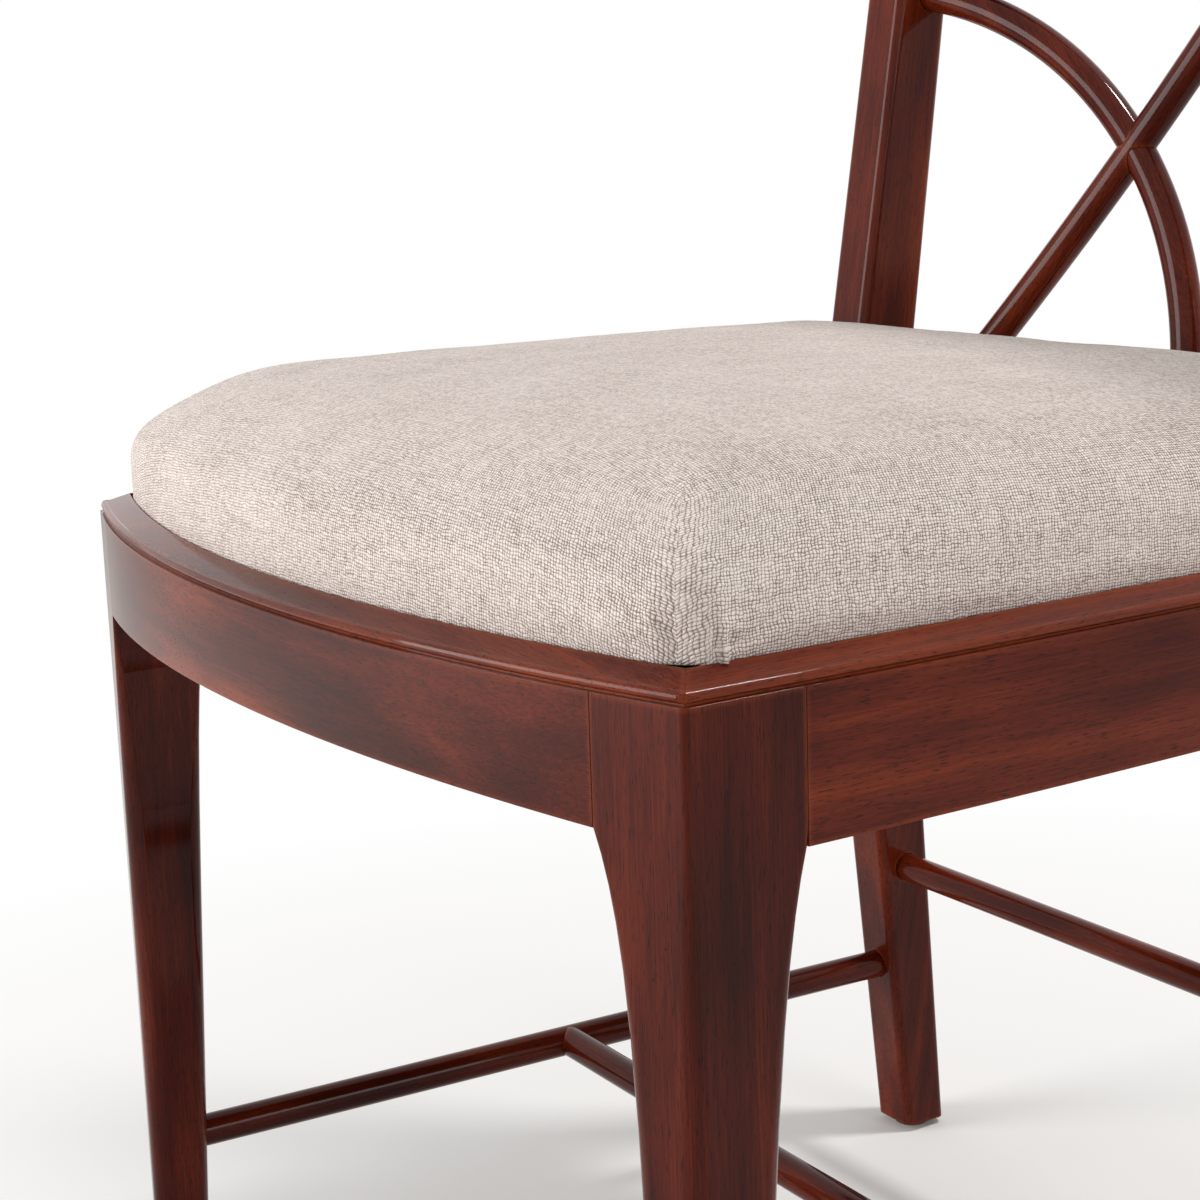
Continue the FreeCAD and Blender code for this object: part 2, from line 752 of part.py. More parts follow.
def make_lattice():
    """The rods, half-lapped where they cross so that both stay in one surface."""
    swollen = {}
    for name, points in LATTICE.items():
        swollen[name] = arc_rod(name + "_tool", points, "sizes.fit_clearance")
    tools = {name: [] for name in LATTICE}
    for i, (over, under, point) in enumerate(LAPS):
        front_half = half_box(f"lap_front_box_{i}", point, -1)
        rear_half = half_box(f"lap_rear_box_{i}", point, 1)
        tools[under].append(common(f"lap_front_{i}", swollen[over], front_half))
        tools[over].append(common(f"lap_rear_{i}", swollen[under], rear_half))
    rods = {}
    for name, points in LATTICE.items():
        plain = arc_rod(name + "_rod", points, "0")
        rods[name] = cut(name + "_lapped", plain, compound(name + "_laps", tools[name]))
    return rods, compound("lattice_seats", list(swollen.values()))


# Stretchers run from leg to leg and end inside them.


def leg_axis(height):
    """The middle of the left front leg at a height below the rails."""
    front, side, *_ = leg_measures(height)
    point = CORNER + ALONG_FRONT * (front / 2) + ALONG_SIDE * (side / 2)
    return Vector(point.x, point.y, height)


def post_axis(height):
    """The middle of the left rear leg at a height below the rails."""
    drop = SEAT_TOP - FRAME_DROP - height
    return Vector(POST_X, size("seat_depth") + drop * math.tan(LEG_RAKE), height)


def make_stretchers():
    low, high = size("side_stretcher_height"), size("rear_stretcher_height")
    front, back = leg_axis(low), post_axis(low)
    radius = "sizes.stretcher_rod / 2"
    bore = "sizes.stretcher_rod / 2 + sizes.fit_clearance"
    middle = (front + back) / 2
    rear = post_axis(high)
    side = rod("side_stretcher_rod", front, back, radius)
    side_tool = rod("side_stretcher_tool", front, back, bore)
    twin_tool = mirror_x("side_stretcher_twin_tool", side_tool)
    rear_rod = rod("rear_stretcher_rod", mirrored(rear), rear, radius)
    rear_tool = rod("rear_stretcher_tool", mirrored(rear), rear, bore)
    cross = rod("cross_stretcher_rod", mirrored(middle), middle, radius)
    saddled = cut("cross_stretcher_saddled", cross, compound("cross_saddles", [side_tool, twin_tool]))
    inset = Vector(size("stretcher_rod") / 2 - size("cross_tenon"), 0, 0)
    ends = (mirrored(middle - inset), middle - inset)
    tenon = rod("cross_tenon_rod_through", *ends, "sizes.cross_tenon_rod / 2")
    tenon_tool = rod("cross_tenon_tool", *ends, "sizes.cross_tenon_rod / 2 + sizes.fit_clearance")
    left = cut("left_side_stretcher_bored", side, tenon_tool)
    right = cut("right_side_stretcher_bored", mirror_x("right_side_stretcher_rod", side), tenon_tool)
    whole = fuse("cross_stretcher_whole", [saddled, tenon])
    return left, right, rear_rod, whole, [side_tool, twin_tool, rear_tool]


# Dowels hold the rails to the legs and posts, two at each joint.

DOWEL = "sizes.dowel_rod / 2"
DOWEL_HOLE = "sizes.dowel_rod / 2 + sizes.fit_clearance"

def dowel_pair(name, point, way, height):
    """Two dowels across a joint, one above the other, and the holes for them."""
    half = size("dowel_length") / 2
    spread = Z_AXIS * (size("dowel_spread") / 2)
    pins, holes = [], []
    for i, offset in enumerate((spread, spread * -1)):
        centre = Vector(point.x, point.y, height) + offset
        start, end = centre - way * half, centre + way * half
        pins.append(rod(f"{name}_{i}", start, end, DOWEL, "sizes.dowel_length"))
        holes.append(rod(f"{name}_hole_{i}", start, end, DOWEL_HOLE, "sizes.dowel_length"))
    return pins, holes


def frame_dowels():
    """The four joints of the left half and their mirror images; rear and side dowels pass each other."""
    thick = size("rail_thickness")
    height = SEAT_TOP - size("front_rail_height") / 2 - size("rebate_depth") / 2
    back_mid = BACK_CORNER - Vector(size("post_width") / 2, 0, 0)
    shared = (POST_FRONT + POST_FRONT - size("rear_rail_lead") + size("rear_rail_thickness")) / 2
    joints = [
        ("front_dowel", FRONT_JOINT + ALONG_SIDE * (thick / 2), ALONG_FRONT, 0),
        ("side_dowel", SIDE_JOINT + ALONG_FRONT * (thick / 2), ALONG_SIDE, 0),
        ("back_side_dowel", back_mid, Vector(0, 1, 0), 0),
        ("back_dowel", Vector(POST_INNER, shared, 0), Vector(1, 0, 0), size("dowel_spread") / 2),
    ]
    pins, holes = [], []
    for name, point, way, lift in joints:
        new_pins, new_holes = dowel_pair(name, point, way, height + lift)
        pins += new_pins
        holes += new_holes
    pins += [mirror_x(pin.Name + "_right", pin) for pin in pins]
    holes += [mirror_x(hole.Name + "_right", hole) for hole in holes]
    return pins, holes


def back_dowels():
    """One dowel at each end of the lower back rail and two up into the crest from each post."""
    pins, holes = [], []
    half = size("dowel_length") / 2
    low = (size("lower_rail_rise") + LATTICE_LOW) / 2
    level = Vector(POST_INNER, bowed(POST_INNER), low)
    reach = Vector(half, 0, 0)
    spread = Vector(size("dowel_rod") * 0.8, 0, 0)
    head = Vector(POST_X, 0, LATTICE_TOP)
    up = Vector(0, 0, half)
    spans = [(level - reach, level + reach)]
    spans += [(head + s - up, head + s + up) for s in (spread, spread * -1)]
    for i, (start, end) in enumerate(spans):
        pins.append(rod(f"back_pin_{i}", start, end, DOWEL))
        holes.append(rod(f"back_pin_hole_{i}", start, end, DOWEL_HOLE))
    pins += [mirror_x(pin.Name + "_right", pin) for pin in pins]
    holes += [mirror_x(hole.Name + "_right", hole) for hole in holes]
    return pins, holes


# Drop-in seat: a plywood board in a rebate, the cushion over it and a dust cover below.


def seat_prism(name, inset, bottom, length, back_line):
    place = Placement(Vector(0, 0, bottom), Rotation())
    return extrude(name, new_sketch(name + "_plan", seat_outline(inset, back_line), place), length)


def cushion_section(name, inset, height):
    back_line = SEAT_BACK_LINE - inset + size("rim_width")
    return new_sketch(name, seat_outline(inset, back_line), Placement(Vector(0, 0, height), Rotation()))


def make_cushion():
    """Crowned, its sides drawn in at the rim and swelling a little above it."""
    edge = size("rim_width") + size("cover_clearance")
    foot = SEAT_TOP - size("rebate_depth") + size("board_thickness") + size("cover_clearance")
    rim_top = SEAT_TOP + size("rim_rise")
    crown, shoulder, bulge = size("cushion_crown"), size("cushion_shoulder"), size("cushion_bulge")
    stations = [
        (edge, foot),
        (edge, rim_top),
        (edge - bulge, rim_top + crown * 0.2),
        (edge + shoulder * 0.2, rim_top + crown * 0.5),
        (edge + shoulder * 0.75, rim_top + crown * 0.76),
        (edge + shoulder * 1.8, rim_top + crown * 0.92),
        (edge + shoulder * 3.6, rim_top + crown),
    ]
    sections = [cushion_section(f"cushion_section_{i}", *station) for i, station in enumerate(stations)]
    loft = doc.addObject("Part::Loft", "cushion_loft")
    loft.Sections = sections
    loft.Solid = True
    loft.Ruled = False
    return loft


# Corner blocks brace the frame inside its corners; screws through them hold the seat board.


def block_prism(name, points):
    bottom = SEAT_TOP - size("rebate_depth") - size("block_drop") - size("block_height")
    sketch = new_sketch(name + "_plan", polygon(points), Placement(Vector(0, 0, bottom), Rotation()))
    return extrude(name, sketch, "sizes.block_height")


def front_block_points():
    """A triangle across the left front corner; what rails and leg take up is cut away later."""
    sink = size("rail_thickness") / 2
    corner = CORNER + (ALONG_SIDE + ALONG_FRONT) * sink
    reach = size("leg_side_width") + size("block_leg") - sink
    return [corner, corner + ALONG_SIDE * reach, corner + ALONG_FRONT * reach]


def rear_block_points():
    """A triangle across the left rear corner, flat against the rear rail and let into the side rail."""
    sink = size("rail_thickness") / 2
    corner = Vector(HALF_REAR - sink, POST_FRONT - size("rear_rail_lead"), 0)
    reach = size("rail_thickness") + size("block_leg") - sink
    return [corner, corner + Vector(-reach, 0, 0), corner + Vector(0, -reach, 0)]


def wood_screw(name, tip, head, length):
    """A countersunk wood screw from its head in the direction of a point towards its tip."""
    way = (tip - head).normalize()
    shank = rod(name + "_shank", head, head + way, "sizes.screw_shank / 2", length)
    cone = doc.addObject("Part::Cone", name + "_head")
    cone.setExpression("Radius1", "sizes.screw_head / 2")
    cone.setExpression("Radius2", "sizes.screw_shank / 2")
    cone.setExpression("Height", "sizes.screw_head / 2 - sizes.screw_shank / 2")
    cone.Placement = Placement(head, Rotation(Z_AXIS, way))
    return fuse(name, [shank, cone])


def block_middle(points):
    """The middle of the block's open face, the level way out of the corner and the way along the face."""
    face = (points[1] + points[2]) / 2
    return face, (face - points[0]).normalize(), (points[2] - points[1]).normalize()


def corner_screws(name, points):
    """One upright screw into the seat board and one level screw into the leg, for one block."""
    face, out, along = block_middle(points)
    bottom = SEAT_TOP - size("rebate_depth") - size("block_drop") - size("block_height")
    head = size("screw_head")
    spot = face - out * (head * 1.6) + along * (head * 1.8)
    seat_head = Vector(spot.x, spot.y, bottom)
    level = bottom + size("block_height") * 0.35
    leg_head = Vector(face.x, face.y, level)
    seat_tip, leg_tip = seat_head + Z_AXIS * head, leg_head - out * head
    seat_screw = wood_screw(name + "_seat_screw", seat_tip, seat_head, "sizes.seat_screw_length")
    leg_screw = wood_screw(name + "_leg_screw", leg_tip, leg_head, "sizes.block_screw_length")
    return seat_screw, leg_screw


def make_glide(name, point):
    glide = doc.addObject("Part::Cylinder", name)
    glide.setExpression("Radius", "sizes.glide_width / 2")
    glide.setExpression("Height", "sizes.glide_thickness")
    glide.Placement = Placement(Vector(point.x, point.y, 0), Rotation())
    return glide


# Assembly: every finished piece is placed so that the chair stands on its middle.


def placed(label, source, raked=False):
    """A finished piece in the chair's frame: raked where it belongs to the back, then shifted."""
    doc.recompute()
    piece = doc.addObject("Part::Compound", label)
    piece.Links = [source]
    shift = Placement(Vector(0, ORIGIN_SHIFT, 0), Rotation())
    piece.Placement = shift * BACK_PLACE if raked else shift
    return keep(label, piece)


def raked_tool(name, source):
    """A tool of the raked frame, brought to the seat's frame."""
    tool = compound(name, [source])
    tool.Placement = BACK_PLACE
    return tool


CREST_TOP = LATTICE_TOP + size("crest_height") - size("crest_round")
CREST_REACH = BACK_PLACE.multVec(Vector(0, size("back_bow") + size("crest_thickness") / 2, CREST_TOP)).y
ORIGIN_SHIFT = (size("front_bow") - CREST_REACH) / 2
REBATE = SEAT_TOP - size("rebate_depth")


def both_sides(left_name, left, right_name):
    """A left piece and its mirror image, by name."""
    return {left_name: left, right_name: mirror_x(right_name + "_twin", left)}


def cut_each(pieces, suffix, tool):
    return {label: cut(label + suffix, source, tool) for label, source in pieces.items()}


def frame_pieces(holes, bores):
    """Rails with their rebate and dowel holes, and legs with their stretcher bores too."""
    pocket = seat_prism("seat_pocket", size("rim_width"), REBATE, "sizes.rebate_depth * 4", SEAT_BACK_LINE)
    side_rails = both_sides("left_side_rail", make_side_rail(), "right_side_rail")
    plain_rails = {"front_rail": make_front_rail(), "rear_rail": make_rear_rail(), **side_rails}
    plain_legs = both_sides("front_left_leg", make_front_leg(), "front_right_leg")
    rails = cut_each(plain_rails, "_rebated", pocket)
    rails = cut_each(rails, "_bored", compound("frame_holes", holes))
    legs = cut_each(plain_legs, "_rebated", pocket)
    legs = cut_each(legs, "_bored", compound("leg_holes", holes + bores))
    return plain_rails, plain_legs, rails, legs


def post_pieces(holes, bores, back_holes, lattice_seats):
    """Posts bored for the rails and stretchers, and in the raked frame for the back."""
    posts = both_sides("rear_left_post", make_post(), "rear_right_post")
    posts = cut_each(posts, "_bored", compound("post_holes", holes + bores))
    pin_holes = raked_tool("raked_pin_holes", compound("back_pin_holes", back_holes))
    posts = cut_each(posts, "_pinned", pin_holes)
    return cut_each(posts, "_seated", raked_tool("raked_lattice", lattice_seats))


def seat_pieces():
    """The board in its rebate and the dust cover under it, before their holes."""
    margin = size("board_margin")
    inset = size("rim_width") + margin
    board = seat_prism("board", inset, REBATE, "sizes.board_thickness", SEAT_BACK_LINE - margin)
    cover_back = POST_FRONT - size("rear_rail_lead") - margin
    thickness = size("dust_cover_thickness")
    inside = size("rail_thickness") + margin
    dust = seat_prism("dust", inside, REBATE - thickness, "sizes.dust_cover_thickness", cover_back)
    return board, dust


def block_pieces(frame_solids):
    """The four corner blocks, with the screws through them."""
    blocks, seat_screws, leg_screws = {}, [], []
    for corner, points in (("front", front_block_points()), ("rear", rear_block_points())):
        prism = block_prism(corner + "_block_prism", points)
        fitted = cut(corner + "_block_fitted", prism, frame_solids)
        blocks.update(both_sides(corner + "_left_corner_block", fitted, corner + "_right_corner_block"))
        seat_screw, leg_screw = corner_screws(corner, points)
        seat_screws += [seat_screw, mirror_x(corner + "_seat_screw_twin", seat_screw)]
        leg_screws += [leg_screw, mirror_x(corner + "_leg_screw_twin", leg_screw)]
    return blocks, seat_screws, leg_screws


def glide_pieces():
    front, back = leg_axis(size("glide_thickness")), post_axis(size("glide_thickness"))
    points = (front, mirrored(front), back, mirrored(back))
    return [make_glide(f"glide_{i}", point) for i, point in enumerate(points)]


def place_seat_frame(pins, holes, back_holes, lattice_seats):
    """Everything below the back: rails, legs, rims, stretchers, seat, blocks and fasteners."""
    left_stretcher, right_stretcher, rear_stretcher, cross_stretcher, bores = make_stretchers()
    plain_rails, plain_legs, rails, legs = frame_pieces(holes, bores)
    left_solids = [plain_rails["front_rail"], plain_rails["left_side_rail"], plain_legs["front_left_leg"]]
    blocks, seat_screws, leg_screws = block_pieces(compound("frame_solids", left_solids))
    screw_tools = compound("screw_tools", seat_screws + leg_screws)
    board, dust = seat_pieces()
    notched = cut("dust_cover_notched", dust, compound("front_legs", list(plain_legs.values())))
    screwed = {**rails, **legs, **blocks, "seat_board": board, "dust_cover": notched}
    for label, source in cut_each(screwed, "_screwed", screw_tools).items():
        placed(label, source)
    for label, source in post_pieces(holes, bores, back_holes, lattice_seats).items():
        placed(label, source)
    placed("front_rim", make_front_rim())
    for label, source in both_sides("left_rim", make_side_rim(), "right_rim").items():
        placed(label, source)
    placed("left_side_stretcher", left_stretcher)
    placed("right_side_stretcher", right_stretcher)
    placed("rear_stretcher", rear_stretcher)
    placed("cross_stretcher", cross_stretcher)
    placed("seat_cushion", make_cushion())
    placed("seat_screws", compound("seat_screw_set", seat_screws))
    placed("corner_block_screws", compound("leg_screw_set", leg_screws))
    placed("rail_dowels", compound("rail_dowel_set", pins))
    placed("foot_glides", compound("glide_set", glide_pieces()))


def place_back(rods, lattice_seats, back_pins, back_holes):
    back_tools = compound("back_tools", back_holes + [lattice_seats])
    placed("lower_back_rail", cut("lower_rail_seated", make_lower_rail(), back_tools), raked=True)
    placed("crest_rail", cut("crest_seated", make_crest(), back_tools), raked=True)
    placed("back_dowels", compound("back_dowel_set", back_pins), raked=True)
    for label, source in rods.items():
        placed(label, source, raked=True)


def build():
    pins, holes = frame_dowels()
    back_pins, back_holes = back_dowels()
    rods, lattice_seats = make_lattice()
    place_seat_frame(pins, holes, back_holes, lattice_seats)
    place_back(rods, lattice_seats, back_pins, back_holes)


def check_and_export():
    doc.recompute()
    for item in doc.Objects:
        if "Invalid" in item.State or "Error" in item.State:
            raise RuntimeError(f"{item.Name} failed: {item.State}")
    for piece in nodes:
        shape = piece.Shape
        if shape.isNull() or not shape.isValid() or not shape.Solids:
            raise RuntimeError(f"{piece.Label} has no valid solid")
    for piece in nodes:
        piece.Shape.exportStep(f"parts/{piece.Label}.step")
        box = piece.Shape.BoundBox
        print(piece.Label, len(piece.Shape.Solids), "solids", round(piece.Shape.Volume), "mm3", end=" ")
        print([round(v, 1) for v in (box.XMin, box.YMin, box.ZMin, box.XMax, box.YMax, box.ZMax)])


build()
check_and_export()
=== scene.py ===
# %% [markdown]
# A mahogany side chair with a bowed front, an upholstered drop-in seat and a trellis back. The
# construction model already holds every wooden piece at its real size, so this lesson dresses it:
# lacquered wood with its grain along each piece, a linen cushion, and a plain white studio.

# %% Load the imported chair
import math

import bpy
import numpy as np
from mathutils import Matrix, Vector, noise


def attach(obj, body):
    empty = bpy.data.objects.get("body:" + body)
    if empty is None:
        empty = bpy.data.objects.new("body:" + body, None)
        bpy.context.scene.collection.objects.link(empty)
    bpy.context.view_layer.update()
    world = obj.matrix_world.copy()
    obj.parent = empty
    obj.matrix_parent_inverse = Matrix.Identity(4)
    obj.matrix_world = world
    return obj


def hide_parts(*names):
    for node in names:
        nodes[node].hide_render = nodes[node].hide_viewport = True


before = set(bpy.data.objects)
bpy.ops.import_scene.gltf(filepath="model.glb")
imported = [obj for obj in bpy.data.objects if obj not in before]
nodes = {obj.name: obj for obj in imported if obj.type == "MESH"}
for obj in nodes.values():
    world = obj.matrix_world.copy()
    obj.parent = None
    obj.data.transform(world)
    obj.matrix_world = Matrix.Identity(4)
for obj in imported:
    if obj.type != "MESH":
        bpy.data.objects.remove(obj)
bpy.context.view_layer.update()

# %% [markdown]
# The camera comes first, because every later choice is judged through it. A camera can be aimed by a
# constraint or by angles. Angles are used here, since the view also leans a little to one side: turn
# about the upright axis, tip down, then roll about the line of sight.

# %% Camera
CAMERA_AT = Vector((0.8142, -0.6382, 0.5969))
CAMERA_TURN, CAMERA_DOWN, CAMERA_ROLL = 58.36, 11.48, -1.89
LENS_MM = 69.85

camera = bpy.data.objects.new("camera", bpy.data.cameras.new("camera"))
camera.data.sensor_width = 36
camera.data.lens = LENS_MM
turn = Matrix.Rotation(math.radians(CAMERA_TURN), 4, "Z")
tip = Matrix.Rotation(math.radians(90 - CAMERA_DOWN), 4, "X")
roll = Matrix.Rotation(math.radians(CAMERA_ROLL), 4, "Z")
camera.matrix_world = Matrix.Translation(CAMERA_AT) @ turn @ tip @ roll
bpy.context.scene.collection.objects.link(camera)
bpy.context.scene.camera = camera
print("lens", LENS_MM, "mm, tipped down", CAMERA_DOWN, "degrees")

# %% [markdown]
# Materials are node trees. Colours are written as sRGB hex, which is how they are picked on a screen,
# and one function turns them to the linear values that the renderer mixes. One more function adds a
# node: its settings are properties, and its inputs are values or links.

# %% Two helpers for materials
def linear(colour):
    """An sRGB hex colour as linear RGBA."""
    parts = [int(colour[i : i + 2], 16) / 255 for i in (1, 3, 5)]
    return (*[p / 12.92 if p <= 0.04045 else ((p + 0.055) / 1.055) ** 2.4 for p in parts], 1)


def add(tree, kind, inputs=None, **settings):
    """Adds a node. Inputs are socket names or numbers, each with a value or a socket to link from."""
    node = tree.nodes.new(kind)
    for name, value in settings.items():
        setattr(node, name, value)
    for name, value in (inputs or {}).items():
        if isinstance(value, bpy.types.NodeSocket):
            tree.links.new(value, node.inputs[name])
        else:
            node.inputs[name].default_value = value
    return node


def new_material(name):
    """An empty material with its tree, output and principled shader."""
    material = bpy.data.materials.new(name)
    material.use_nodes = True
    tree = material.node_tree
    return material, tree, tree.nodes["Principled BSDF"]


def colour_stops(ramp, stops):
    """Gives a colour ramp its stops: position and hex colour."""
    elements = ramp.color_ramp.elements
    while len(elements) < len(stops):
        elements.new(0.5)
    for element, (position, colour) in zip(elements, stops):
        element.position = position
        element.color = linear(colour)


# %% [markdown]
# The frame is mahogany, stained dark red-brown and lacquered until it shines. Its eye comes from four
# scales: clouds of stain a hand wide, ribbons a centimetre wide, fine streaks well under a millimetre
# wide, and short dark pores. All but the clouds are long along the grain, so the coordinates are first
# turned until the grain lies along X and then squeezed by the length of each feature.

# %% Scales of the figure
RIBBON_MM = (14, 260)
STREAK_MM = (0.8, 30)
PORE_MM = (0.45, 5)
CLOUD_MM = (45, 120)


def grain_noise(tree, turned, across_and_along, **inputs):
    """Noise whose features have a width across the grain and a length along it, in millimetres."""
    across, along = (1000 / mm for mm in across_and_along)
    squeezed = add(tree, "ShaderNodeMapping", {"Vector": turned, "Scale": (along, across, across)})
    settings = {"Vector": squeezed.outputs[0], "Scale": 1.0, **inputs}
    return add(tree, "ShaderNodeTexNoise", settings).outputs["Fac"]


def along_x(grain):
    """The turn that lays a grain direction along X."""
    return Vector(grain).normalized().rotation_difference(Vector((1, 0, 0))).to_euler()


# %% [markdown]
# Old-looking furniture is given a few small dents. Its arrises are also painted paler, as a painted
# highlight along the edges where the lacquer catches the light. The dents are the cores of widely
# spaced Voronoi cells. The edges are found by asking how far a widely rounded normal turns away from
# the true one, which the Bevel node can tell.

# %% Dents and painted edge highlight
DENT_MM = 0.65
DENT_CELLS_PER_M = 55.0
EDGE_HIGHLIGHT_MM = 3.5


def dents(tree, place):
    """One at the bottom of a dent, nought elsewhere."""
    cells = add(tree, "ShaderNodeTexVoronoi", {"Vector": place, "Scale": DENT_CELLS_PER_M})
    edge = DENT_MM / 1000 * DENT_CELLS_PER_M
    inputs = {"Value": cells.outputs["Distance"], "From Min": edge, "From Max": edge * 0.5}
    return add(tree, "ShaderNodeMapRange", inputs).outputs[0]


def painted_edge_highlight(tree):
    """One on the arrises, where a paler painted highlight goes, fading out a few millimetres away."""
    rounded = add(tree, "ShaderNodeBevel", {"Radius": EDGE_HIGHLIGHT_MM / 1000}, samples=4)
    true = add(tree, "ShaderNodeNewGeometry").outputs["Normal"]
    normals = {0: rounded.outputs[0], 1: true}
    turned = add(tree, "ShaderNodeVectorMath", normals, operation="DOT_PRODUCT")
    inputs = {"Value": turned.outputs["Value"], "From Min": 0.998, "From Max": 0.86}
    return add(tree, "ShaderNodeMapRange", inputs).outputs[0]


# %% [markdown]
# Lacquer is a clear coat over the wood. A coat's index of refraction sets how much it mirrors: real
# lacquer is near 1.5, but in an all-white studio that would veil so dark a stain with a grey film, so
# the index is brought down until front and side are as deep as on the real chair. The coat takes its
# own normal, rounded by nearly half a millimetre, because the film lies round on every arris.

# %% Lacquered mahogany
COAT_INDEX = 1.23
COAT_ROUGHNESS = 0.07
FILM_MM = 0.4
WOOD_ROUGHNESS = 0.45
WOOD_SPECULAR = 0.02
CLOUD_SHARE, RIBBON_SHARE, STREAK_SHARE = 0.42, 0.36, 0.22


def lacquered_mahogany(name, grain, tone=0.0, offset=0.0):
    """Mahogany with its grain along a direction. Tone makes it paler, offset shifts the figure."""
    material, tree, shader = new_material(name)
    place = add(tree, "ShaderNodeTexCoord").outputs["Object"]
    shift = (offset, offset * 2.3, offset)
    inputs = {"Vector": place, "Rotation": along_x(grain), "Location": shift}
    turned = add(tree, "ShaderNodeMapping", inputs).outputs[0]
    clouds = grain_noise(tree, turned, CLOUD_MM, Detail=2.0, Roughness=0.5)
    ribbons = grain_noise(tree, turned, RIBBON_MM, Detail=3.0, Roughness=0.55, Distortion=0.5)
    streaks = grain_noise(tree, turned, STREAK_MM, Detail=2.0, Roughness=0.6)
    pores = grain_noise(tree, turned, PORE_MM, Detail=1.0)

    figure = tone
    for part, weight in ((clouds, CLOUD_SHARE), (ribbons, RIBBON_SHARE), (streaks, STREAK_SHARE)):
        terms = {0: part, 1: weight, 2: figure}
        figure = add(tree, "ShaderNodeMath", terms, operation="MULTIPLY_ADD").outputs[0]
    stain = add(tree, "ShaderNodeValToRGB", {"Fac": figure})
    colour_stops(stain, [(0.36, "#300902"), (0.47, "#4a1306"), (0.56, "#61200c"), (0.7, "#823516")])

    inputs = {"Value": pores, "From Min": 0.58, "From Max": 0.72, "To Max": 0.75}
    pore_dots = add(tree, "ShaderNodeMapRange", inputs).outputs[0]
    marks = dents(tree, add(tree, "ShaderNodeMapping", {"Vector": place, "Location": shift}).outputs[0])
    dark = add(tree, "ShaderNodeMath", {0: pore_dots, 1: marks}, operation="MAXIMUM").outputs[0]
    edges = painted_edge_highlight(tree)
    # The arrises are mixed towards a paler red. This is a painted highlight along the edges, not wear.
    edge_highlight = add(tree, "ShaderNodeMath", {0: edges, 1: clouds}, operation="MULTIPLY").outputs[0]
    colour = stain.outputs["Color"]
    for share, other in ((edge_highlight, "#8e3f1d"), (dark, "#1a0604")):
        blend = add(tree, "ShaderNodeMix", data_type="RGBA")
        tree.links.new(share, blend.inputs["Factor"])
        tree.links.new(colour, blend.inputs[6])
        blend.inputs[7].default_value = linear(other)
        colour = blend.outputs[2]

    film = add(tree, "ShaderNodeBevel", {"Radius": FILM_MM / 1000}, samples=6).outputs[0]
    depth = add(tree, "ShaderNodeMath", {0: streaks, 1: marks}, operation="SUBTRACT").outputs[0]
    inputs = {"Strength": 0.08, "Distance": 0.0003, "Height": depth, "Normal": film}
    relief = add(tree, "ShaderNodeBump", inputs).outputs[0]
    for link, socket in ((colour, "Base Color"), (relief, "Normal"), (film, "Coat Normal")):
        tree.links.new(link, shader.inputs[socket])
    shader.inputs["Roughness"].default_value = WOOD_ROUGHNESS
    shader.inputs["IOR"].default_value = 1.5
    shader.inputs["Specular IOR Level"].default_value = WOOD_SPECULAR
    shader.inputs["Coat Weight"].default_value = 1.0
    shader.inputs["Coat Roughness"].default_value = COAT_ROUGHNESS
    shader.inputs["Coat IOR"].default_value = COAT_INDEX
    return material


# %% [markdown]
# A joiner cuts each piece with the grain along its length, so each node gets the direction of its own
# length. The raked posts and trellis lean back a little, and the rods of the trellis cross at an angle.
# Boards take the stain differently, so each piece also has its own tone.

# %% Grain and tone of each piece
UP = (0, 0, 1)
ACROSS = (1, 0, 0)
DEEP_LEFT = (-0.04, 1, 0)
DEEP_RIGHT = (0.04, 1, 0)
RAKED = (0, 0.14, 1)
MAHOGANY = {
    "front_rail": (ACROSS, 0.02),
    "rear_rail": (ACROSS, 0.0),
    "left_side_rail": (DEEP_LEFT, 0.03),
    "right_side_rail": (DEEP_RIGHT, 0.03),
    "front_left_leg": (UP, -0.04),
    "front_right_leg": (UP, -0.03),
    "rear_left_post": (RAKED, 0.01),
    "rear_right_post": (RAKED, 0.01),
    "front_rim": (ACROSS, 0.06),
    "left_rim": (DEEP_LEFT, 0.07),
    "right_rim": (DEEP_RIGHT, 0.07),
    "left_side_stretcher": (DEEP_LEFT, -0.03),
    "right_side_stretcher": (DEEP_RIGHT, -0.03),
    "rear_stretcher": (ACROSS, -0.02),
    "cross_stretcher": (ACROSS, -0.02),
    "lower_back_rail": (ACROSS, 0.0),
    "crest_rail": (ACROSS, 0.02),
    "lattice_diagonal_right": ((0.72, 0.14, 1), 0.0),
    "lattice_diagonal_left": ((-0.72, 0.14, 1), -0.02),
    "lattice_brace_lower_right": ((-0.9, 0.1, 1), 0.0),
    "lattice_brace_lower_left": ((0.9, 0.1, 1), 0.02),
    "lattice_brace_upper_right": ((0.9, 0.1, 1), 0.01),
    "lattice_brace_upper_left": ((-0.9, 0.1, 1), -0.01),
}
for number, (name, (grain, tone)) in enumerate(MAHOGANY.items()):
    wood = lacquered_mahogany(f"lacquered_mahogany_{name}", grain, tone, offset=0.37 * number)
    nodes[name].data.materials.clear()
    nodes[name].data.materials.append(wood)
print(len(MAHOGANY), "mahogany pieces")

# %% [markdown]
# Out of sight the chair is made of plainer stuff: beech blocks and dowels left bare, a plywood board,
# a black nonwoven dust cover, steel screws and nylon glides. They show from below, so each still gets
# its own finish.

